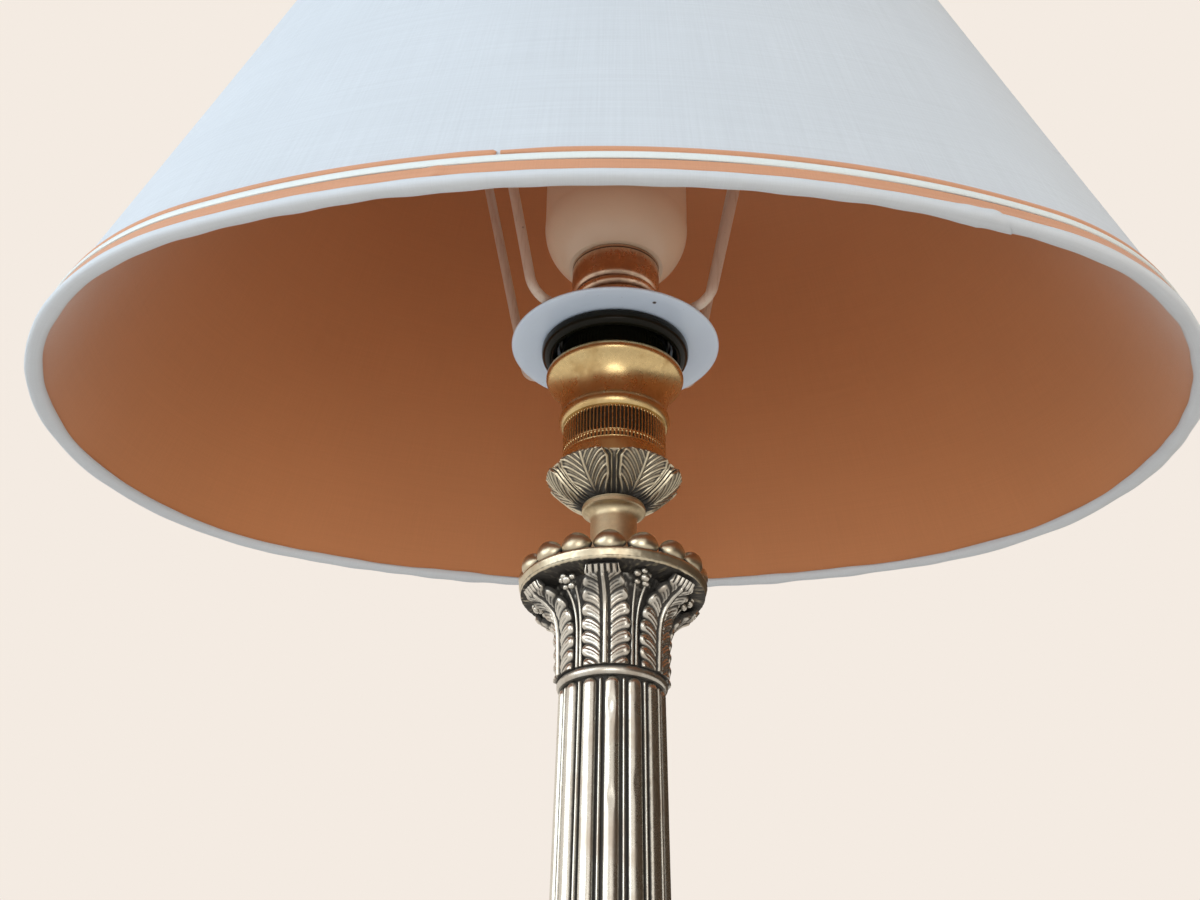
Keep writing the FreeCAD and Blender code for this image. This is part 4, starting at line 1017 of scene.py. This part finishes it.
class LAMP_OT_bulb_cap(bpy.types.Operator):
    """Screw cap of the bulb with its rolled helical thread"""
    bl_idname = "lamp.bulb_cap"
    bl_label = "Bulb cap"

    def execute(self, context):
        angle = np.arange(144) * TURN / 144
        z = np.linspace(447.2, 459.6, 84)
        turns = (z[None, :] - z[0]) / THREAD_PITCH - angle[:, None] / TURN
        swell = (0.5 + 0.5 * np.cos(TURN * turns)) ** 0.85
        fade = smooth(448.0, 450.0, z) * (1 - smooth(458.6, 459.4, z))
        radius = THREAD_ROOT_R + (THREAD_CREST_R - THREAD_ROOT_R) * swell * fade[None, :]
        radius = radius * smooth(446.0, 448.2, z) ** 0.1
        collar = np.array([(12.5, 459.9), (13.0, 460.3), (13.32, 461.1), (13.42, 462.6), (13.42, 465.6),
                           (13.42, 468.6), (13.30, 469.0), (13.45, 469.3), (13.42, 470.0), (13.2, 470.2),
                           (12.2, 470.2), (12.1, 449.6), (11.25, 448.7), (11.3, 447.2)])
        outer = ring_spots(angle[:, None], radius, z[None, :])
        top = ring_spots(angle[:, None], collar[None, :, 0], collar[None, :, 1])
        mould = Mould()
        marks = np.zeros((len(angle), outer.shape[1] + len(collar)))
        marks[:, :outer.shape[1]] = np.clip((swell - 0.5) * 0.8, -1, 1)
        marks[:, outer.shape[1] + 6] = -0.9
        mould.grid(np.concatenate([outer, top], 1), wrap_u=True, wrap_v=True, relief=marks)
        mould.make("cap_threaded", "bulb", "nickel_plate", "bulb_cap")
        return done(self)


class LAMP_OT_fitter_disc(bpy.types.Operator):
    """Painted disc that carries the shade, with eased edges"""
    bl_idname = "lamp.fitter_disc"
    bl_label = "Fitter disc"

    def execute(self, context):
        angle = np.arange(240) * TURN / 240
        profile = np.array([(16.75, 440.55), (16.95, 440.32), (20.0, 440.3), (24.0, 440.3), (28.0, 440.3),
                            (30.4, 440.34), (30.95, 440.48), (31.25, 440.75), (31.25, 441.05), (30.9, 441.38),
                            (30.3, 441.5), (26.0, 441.5), (20.0, 441.5), (16.95, 441.48), (16.75, 441.25)])
        mould = Mould()
        mould.grid(ring_spots(angle[:, None], profile[None, :, 0], profile[None, :, 1]), wrap_u=True,
                   wrap_v=True)
        disc = mould.make("disc_painted", "shade", "white_enamel", "fitter_disc")
        # the disc's colour carries painted cool window light
        disc.data.materials[0] = disc_paint("disc_paint", context.scene.lamp_colours.enamel)
        return done(self)


# ---------------------------------------------------------------- shade
def wall(turn, z, offset):
    """Points of a layer of the shade's wall."""
    return oval(turn[:, None], z[None, :], offset)[0]


def both_faces(turn, z):
    """Place of each corner along and across a two-faced cloth, in millimetres, for the weave."""
    girth = (oval_girth(z[0]) + oval_girth(z[-1])) / 2
    u, v = np.meshgrid(turn * girth, (z - z[0]) / math.cos(WALL_LEAN), indexing="ij")
    places = np.stack([u, v], -1)
    return np.concatenate([places, places[:, ::-1], places[:, :1]], 1)


def closed(places):
    """Places round a section, with the first one again at the end."""
    return np.concatenate([places, places[:, :1]], 1)


class LAMP_OT_shade_cover(bpy.types.Operator):
    """Outer fabric, stretched over the two rings and lapped at the back"""
    bl_idname = "lamp.shade_cover"
    bl_label = "Shade cover"

    def execute(self, context):
        around, rows = 560, 48
        turn = np.linspace(0.5, 1.5 + COVER_LAP, around)
        z = np.linspace(RIM_Z + CLOTH_EDGE, SHADE_TOP_Z - CLOTH_EDGE, rows)
        share = (z - z[0]) / (z[-1] - z[0])
        over = smooth(1.5 - 0.0005, 1.5 + 0.0012, turn)[:, None] * COVER_LAP_T
        slack = smooth(0, 0.25, share) * smooth(0, 0.25, 1 - share)
        ripple = 0.10 * waves(turn % 1.0, 31, 9, 3)[:, None] * slack
        sag = -0.35 * np.sin(math.pi * share)
        outside = wall(turn, z, over + ripple + sag)
        inside = wall(turn, z, over + ripple + sag - COVER_T)
        mould = Mould()
        loop = np.concatenate([outside, inside[:, ::-1]], 1)
        mould.grid(loop, wrap_v=True, cap_u=True, cloth=both_faces(turn, z))
        cover = mould.make("cover_fabric", "shade", "shade_cloth", "shade_cover")
        return done(self)


class LAMP_OT_shade_lining(bpy.types.Operator):
    """Lining, stretched between the rings, with its join at the back"""
    bl_idname = "lamp.shade_lining"
    bl_label = "Shade lining"

    def execute(self, context):
        around, rows = 480, 56
        turn = np.linspace(0.5, 1.5, around)
        z = np.linspace(RIM_Z + CLOTH_EDGE, SHADE_TOP_Z - CLOTH_EDGE, rows)
        share = (z - z[0]) / (z[-1] - z[0])
        slack = (smooth(0, 0.12, share) * smooth(0, 0.2, 1 - share))[None, :]
        drawn = 0.10 * waves(turn % 1.0, 41, 14, 9)[:, None] * np.exp(-share * 7)[None, :]
        ripple = 0.22 * waves(turn % 1.0, 43, 6, 2)[:, None] * slack + drawn * slack ** 0.3
        inside = wall(turn, z, LINING_IN + ripple)
        outside = wall(turn, z, LINING_OUT + ripple)
        mould = Mould()
        mould.grid(np.concatenate([outside, inside[:, ::-1]], 1), wrap_v=True, cap_u=True,
                   cloth=both_faces(turn, z))
        lining = mould.make("lining_fabric", "shade", "salmon_lining", "shade_lining")
        return done(self)


def lap_lift(turn):
    """How far the trims rise where the cover's two ends overlap at the back."""
    place = turn % 1.0
    return COVER_LAP_T * smooth(0.4985, 0.5002, place) * (1 - smooth(0.5130, 0.5146, place))


def rim_height(up, z):
    """Height of a trim: measured up from the rim, or down from the top."""
    return RIM_Z + z if up else SHADE_TOP_Z - z


def tape_section():
    """Section of the rolled tape as (offset, height over the edge): outside, round the edge, inside."""
    outer = [(0.15, 2.85), (0.50, 2.82), (0.80, 2.5), (0.90, 1.8), (0.78, 1.05), (0.32, 0.45),
             (-0.4, 0.12), (-1.3, 0.0), (-2.2, 0.04), (-3.1, 0.25), (-3.65, 0.65), (-3.87, 1.05),
             (-3.86, 1.5), (-3.7, 1.85), (-3.40, 1.9)]
    inner = [(-3.28, 1.6), (-3.27, 1.2), (-2.9, 0.95), (-2.2, 0.85), (-1.3, 0.8), (-0.5, 0.85),
             (0.06, 1.2), (0.08, 2.0)]
    return np.array(outer), np.array(inner)


class LAMP_OT_shade_tapes(bpy.types.Operator):
    """Rolled tapes over the rim and the top: uneven, with a lapped and folded end"""
    bl_idname = "lamp.shade_tapes"
    bl_label = "Shade tapes"

    def execute(self, context):
        ripple = context.scene.lamp_sizes.tape_ripple / MM
        for name, up, joint, seed in (("tape_rim", True, 0.0955, 51), ("tape_top", False, 0.56, 61)):
            outer, inner = tape_section()
            section = np.concatenate([outer, inner])
            end = joint + 1.0 + TAPE_LAP
            face = np.arange(len(section)) < len(outer)
            across = run_along(section)
            share = np.where(face, across / across[len(outer) - 1], 1.0)
            share[len(outer):] = np.linspace(1, 0, len(inner))
            turn = np.linspace(joint, end, 720)[:, None] + 0 * share[None, :]
            turn = turn + 0.0085 * (share - 0.3) * smooth(end - 0.03, end, turn)
            lapped = smooth(joint + 1.0 - 0.004, joint + 1.0 + 0.0005, turn)
            wave = waves(turn % 1.0, seed, 16, 20) * 0.5 + waves(turn % 1.0, seed + 1, 8, 60) * 0.35
            fold = bump((turn - (end - 0.0035 - 0.004 * share)) * 900, 1.6) * 0.35
            push = face * (ripple * wave * (0.4 + 1.2 * share) + 0.34 * lapped + fold * lapped)
            push = push + ~face * (0.33 * lapped)
            middle = np.array([-1.5, 2.2])
            way = section - middle
            way /= np.linalg.norm(way, axis=1, keepdims=True)
            offset = section[:, 0] + way[:, 0] * push
            height = np.maximum(section[:, 1] + way[:, 1] * push, -0.25)
            height = height + ripple * 0.8 * waves(turn % 1.0, seed + 2, 9, 12) * (share > 0.9)
            points = oval(turn, rim_height(up, height), offset)[0]
            girth = oval_girth(rim_height(up, 1.0))
            mould = Mould()
            mould.grid(points, wrap_v=True, cap_u=True,
                       cloth=closed(np.stack([turn * girth, across + 0 * turn], -1)))
            node = "rim_tape" if up else "top_tape"
            tape = mould.make(name, "shade", "white_tape", node, sharp=70.0)
        return done(self)


class LAMP_OT_shade_trims(bpy.types.Operator):
    """Flat band, round satin cord and thin piping glued round the cover at both ends"""
    bl_idname = "lamp.shade_trims"
    bl_label = "Shade trims"

    def execute(self, context):
        sizes = context.scene.lamp_sizes
        for up, tag, joint in ((True, "rim", 0.497), (False, "top", 0.47)):
            girth = oval_girth(rim_height(up, 6.0))
            self.make_band(up, tag, girth, joint)
            self.make_cord(up, tag, girth, sizes.cord_radius / MM, joint)
            self.make_piping(up, tag, girth, joint)
        return done(self)

    def strip(self, up, tag, kind, slot, section, turn, shift, girth, lift=0.0, sharp=60.0):
        """A trim with one section of (offset, height) all the way round; shift moves its height."""
        section = np.array(section)
        offset = section[None, :, 0] + lift + lap_lift(turn)[:, None]
        height = section[None, :, 1] + shift
        points = oval(turn[:, None] + 0 * offset, rim_height(up, height), offset + 0 * height)[0]
        places = np.stack(np.broadcast_arrays(turn[:, None] * girth, run_along(section)), -1)
        mould = Mould()
        mould.grid(points, wrap_v=True, cap_u=True, cloth=closed(places))
        return mould.make(tag + "_" + kind + "_trim", "shade", slot, tag + "_" + kind, sharp=sharp)

    def make_band(self, up, tag, girth, joint):
        turn = np.linspace(joint, joint + 0.9996, 620)
        edge = 0.06 * waves(turn % 1.0, 71, 7, 11)[:, None]
        crease = bump((turn - (joint + 0.455)) * 1000, 1.6)[:, None] * 0.45 * up
        section = [(0.06, 2.77), (0.38, 2.80), (0.55, 3.0), (0.54, 3.4), (0.46, 4.1), (0.46, 5.1),
                   (0.54, 5.9), (0.55, 6.35), (0.38, 6.52), (0.06, 6.54)]
        return self.strip(up, tag, "band", "salmon_trim", section, turn, edge, girth, crease)

    def make_cord(self, up, tag, girth, radius, joint):
        turn = np.linspace(joint + 0.02, joint + 1.0198, 900)
        spin = np.arange(22) * TURN / 22
        thread = 1 + 0.035 * np.cos(11 * spin)
        sway = 0.05 * waves(turn % 1.0, 73, 6, 7)[:, None]
        offset = 0.54 + 0.50 * (thread * np.cos(spin))[None, :] + 0 * sway + lap_lift(turn)[:, None]
        height = 7.80 + radius * (thread * np.sin(spin))[None, :] + sway
        points = oval(turn[:, None] + 0 * offset, rim_height(up, height), offset)[0]
        unrolled = 6.4
        places = np.stack(np.broadcast_arrays(turn[:, None] * girth * 0.35, spin / TURN * unrolled), -1)
        places = np.concatenate([places, places[:, :1] + [[0, unrolled]]], 1)
        mould = Mould()
        mould.grid(points, wrap_v=True, cap_u=True, cloth=places)
        return mould.make(tag + "_cord_trim", "shade", "satin_cord", tag + "_cord")

    def make_piping(self, up, tag, girth, joint):
        """Thin rolled strip whose two ends meet at the front: a full end laid against a pressed one."""
        meet = -0.0315 if up else joint
        run = np.concatenate([np.linspace(0, 0.03, 60, endpoint=False),
                              np.linspace(0.03, 0.97, 560, endpoint=False), np.linspace(0.97, 0.9988, 60)])
        turn = meet + run
        middle = np.array([0.40, 10.2])
        section = np.array([(0.04, 9.12), (0.42, 9.14), (0.70, 9.36), (0.90, 9.8), (0.94, 10.3), (0.86, 10.8),
                            (0.60, 11.15), (0.26, 11.3), (0.04, 11.32)])
        swell = 1 - 0.30 * (1 - smooth(0.0, 0.018, run)) + 0.16 * bump(run - 0.990, 0.006)
        swell = swell * np.sqrt(np.clip((0.9990 - run) / 0.0012, 0.2, 1))
        edge = 0.05 * waves(turn % 1.0, 77, 7, 9)[:, None]
        grown = middle + (section[None] - middle) * swell[:, None, None]
        offset = np.maximum(grown[..., 0], 0.03) + lap_lift(turn)[:, None]
        height = grown[..., 1] + edge
        points = oval(turn[:, None] + 0 * offset, rim_height(up, height), offset)[0]
        places = np.stack(np.broadcast_arrays(turn[:, None] * girth, run_along(section)), -1)
        mould = Mould()
        mould.grid(points, wrap_v=True, cap_u=True, cloth=closed(places))
        return mould.make(tag + "_piping_trim", "shade", "salmon_trim", tag + "_piping")


class LAMP_OT_felt(bpy.types.Operator):
    """Felt under the base, cut a little unevenly"""
    bl_idname = "lamp.felt"
    bl_label = "Felt"

    def execute(self, context):
        count = 61
        line = np.linspace(-1, 1, count)
        x, y = np.meshgrid(line, line, indexing="ij")
        pull = 1 - 0.012 * (np.abs(x) ** 12) * (np.abs(y) ** 12)
        ragged = 1 + 0.0016 * grain((count, count), 81, 1)
        flat = np.stack([x, y], -1) * FELT_HALF * (pull * ragged)[..., None]
        eased = np.maximum(abs(x), abs(y))[..., None] ** 60
        top = np.concatenate([flat, 1.98 - 0.5 * eased], -1)
        base = np.concatenate([flat, 0.02 + 0.4 * eased], -1)
        mould = Mould()
        mould.grid(top, cloth=flat)
        mould.grid(base, cloth=flat)
        for edge_top, edge_base in ((top[0], base[0]), (top[-1], base[-1]), (top[:, 0], base[:, 0]),
                                    (top[:, -1], base[:, -1])):
            side = np.stack([edge_top, edge_base], 1)
            mould.grid(side, cloth=side[..., :2])
        felt = mould.make("felt_sheet", "root", "green_felt", "felt_pad")
        work = bmesh.new()
        work.from_mesh(felt.data)
        bmesh.ops.remove_doubles(work, verts=work.verts, dist=1e-6)
        bmesh.ops.recalc_face_normals(work, faces=work.faces)
        work.to_mesh(felt.data)
        work.free()
        return done(self)


# ---------------------------------------------------------------- stage
def seen_rays(n):
    """1 for rays that see the background: from the camera, from gloss and through glass."""
    rays = n.add("ShaderNodeLightPath").outputs
    seen = n.math("ADD", rays["Is Camera Ray"], rays["Is Glossy Ray"])
    return n.math("ADD", seen, rays["Is Transmission Ray"], clamp=True)


class LAMP_OT_stage(bpy.types.Operator):
    """Pale floor, soft lights, background and camera"""
    bl_idname = "lamp.stage"
    bl_label = "Stage"

    def execute(self, context):
        stage = context.scene.lamp_stage
        backdrop = tuple(context.scene.lamp_colours.backdrop)
        self.make_floor(backdrop)
        self.make_world(backdrop)
        self.make_light("window", (-1.25, -0.75, 0.95), (0.0, 0.0, 0.40), 1.7, stage.window_power,
                        (0.84, 0.93, 1.0))
        room = self.make_light("room", (1.1, -0.35, 0.55), (0.0, 0.0, 0.42), 0.7, stage.room_power,
                               (1.0, 0.82, 0.62))
        room.visible_glossy = False
        self.make_light("bounce", (0.0, -1.1, 0.22), (0.0, 0.0, 0.42), 0.6, 2.2, (1.0, 0.97, 0.93))
        self.make_card()
        self.make_camera(stage)
        context.scene.view_settings.view_transform = "Standard"
        return done(self)

    def make_screen(self, name, points):
        """Open surface over points[row, column], in millimetres."""
        rows, columns = points.shape[:2]
        quads = [(i * columns + j, (i + 1) * columns + j, (i + 1) * columns + j + 1, i * columns + j + 1)
                 for i in range(rows - 1) for j in range(columns - 1)]
        mesh = bpy.data.meshes.new(name)
        mesh.from_pydata((points.reshape(-1, 3) * MM).tolist(), [], quads)
        screen = bpy.data.objects.new(name, mesh)
        bpy.context.scene.collection.objects.link(screen)
        return screen

    def make_floor(self, backdrop):
        line = np.linspace(-FLOOR_HALF, FLOOR_HALF, 49)
        x, y = np.meshgrid(line, line, indexing="ij")
        floor = self.make_screen("floor", np.stack([x, y, np.full_like(x, FLOOR_Z)], -1))
        material, n, shader = fresh_material("floor_paint")
        tone = placed(n, "dust", {"Amount": 0.0, "Size": 4.0})["Tone"]
        base = n.mix(tone, opaque([c * 0.97 for c in backdrop]), opaque([min(1, c * 1.02) for c in backdrop]))
        connect(n, shader, Base_Color=base, Roughness=0.75)
        place = n.add("ShaderNodeTexCoord").outputs["Object"]
        away = n.add("ShaderNodeVectorMath", {0: place}, operation="LENGTH").outputs["Value"]
        plain = n.add("ShaderNodeEmission", {"Color": opaque(backdrop), "Strength": 1.0})
        share = n.math("MULTIPLY", n.ramp(away, 0.25, 0.95), seen_rays(n))
        both = n.add("ShaderNodeMixShader", {0: share, 1: shader.outputs[0], 2: plain.outputs[0]})
        n.tree.links.new(both.outputs[0], material.node_tree.nodes["Material Output"].inputs["Surface"])
        floor.data.materials.append(material)

    def make_card(self):
        """Dark curved card at the right that only reflections see: it shades the metal's far side."""
        turn = np.radians(np.linspace(26, 168, 24))
        height = np.linspace(-200.0, 2300.0, 9)
        card = self.make_screen("dark_card", ring_spots(turn[:, None], CARD_R, height[None, :]))
        material, n, shader = fresh_material("card_paint")
        tone = placed(n, "dust", {"Amount": 0.0, "Size": 1.5})["Tone"]
        connect(n, shader, Base_Color=n.mix(tone, opaque((0.03, 0.026, 0.02)), opaque((0.20, 0.125, 0.07))),
                Roughness=0.9)
        card.data.materials.append(material)
        card.visible_camera = card.visible_diffuse = card.visible_transmission = card.visible_shadow = False

    def make_world(self, backdrop):
        world = bpy.data.worlds.new("studio")
        bpy.context.scene.world = world
        world.use_nodes = True
        n = Nodes(world.node_tree)
        world.node_tree.nodes.clear()
        soft = n.add("ShaderNodeBackground", {"Color": opaque((0.93, 0.96, 1.0)), "Strength": 0.47})
        shown = n.add("ShaderNodeBackground", {"Color": opaque(backdrop), "Strength": 1.0})
        both = n.add("ShaderNodeMixShader", {0: seen_rays(n), 1: soft.outputs[0], 2: shown.outputs[0]})
        n.add("ShaderNodeOutputWorld", {0: both.outputs[0]})

    def make_light(self, name, place, target, size, power, rgb):
        light = bpy.data.lights.new(name, "AREA")
        light.shape = "DISK"
        light.size = size
        light.energy = power
        light.color = rgb
        obj = bpy.data.objects.new(name, light)
        bpy.context.scene.collection.objects.link(obj)
        obj.location = place
        way = [b - a for a, b in zip(place, target)]
        level = math.hypot(way[0], way[1])
        obj.rotation_euler = (math.atan2(level, -way[2]), 0.0, math.atan2(way[1], way[0]) - math.pi / 2)
        return obj

    def make_camera(self, stage):
        data = bpy.data.cameras.new("camera")
        data.sensor_width = 36.0
        data.lens = data.sensor_width * FOCAL_LENGTH / PICTURE_W
        data.shift_x, data.shift_y = AXIS_SHIFT / PICTURE_W, (AXIS_ROW - PICTURE_H / 2) / PICTURE_W
        data.clip_start, data.clip_end = 0.02, 20.0
        camera = bpy.data.objects.new("camera", data)
        bpy.context.scene.collection.objects.link(camera)
        camera.location = (0.0, -stage.camera_back, stage.camera_height)
        level = mathutils.Euler((math.pi / 2 + stage.camera_pitch, 0.0, stage.camera_turn)).to_matrix()
        camera.rotation_euler = (level @ mathutils.Matrix.Rotation(stage.camera_roll, 3, "Z")).to_euler()
        bpy.context.scene.camera = camera


class LAMP_PT_sidebar(bpy.types.Panel):
    """Sizes, colours and steps of the lamp"""
    bl_idname = "LAMP_PT_sidebar"
    bl_label = "Column lamp"
    bl_space_type = "VIEW_3D"
    bl_region_type = "UI"
    bl_category = "Lamp"

    def draw(self, context):
        for group in (context.scene.lamp_sizes, context.scene.lamp_colours, context.scene.lamp_stage):
            box = self.layout.box()
            for name in group.__annotations__:
                box.prop(group, name)
        for step in STEPS:
            self.layout.operator(step.bl_idname)


STEPS = (LAMP_OT_frame_finishes, LAMP_OT_shaft, LAMP_OT_capital, LAMP_OT_abacus, LAMP_OT_leaf_cup,
         LAMP_OT_holder_barrel, LAMP_OT_lock_ring, LAMP_OT_bulb_cap, LAMP_OT_fitter_disc, LAMP_OT_shade_trims,
         LAMP_OT_shade_cover, LAMP_OT_shade_lining, LAMP_OT_shade_tapes, LAMP_OT_felt, LAMP_OT_stage)
GROUPED = {"lamp_sizes": LampSizes, "lamp_colours": LampColours, "lamp_stage": LampStage}


def register():
    for kind in (*GROUPED.values(), *STEPS, LAMP_PT_sidebar):
        bpy.utils.register_class(kind)
    for name, kind in GROUPED.items():
        setattr(bpy.types.Scene, name, PointerProperty(type=kind))


def unregister():
    for name in GROUPED:
        delattr(bpy.types.Scene, name)
    for kind in reversed((*GROUPED.values(), *STEPS, LAMP_PT_sidebar)):
        bpy.utils.unregister_class(kind)


def main():
    """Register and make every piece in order."""
    register()
    for step in STEPS:
        area, action = step.bl_idname.split(".")
        getattr(getattr(bpy.ops, area), action)()


if __name__ == "__main__":
    main()
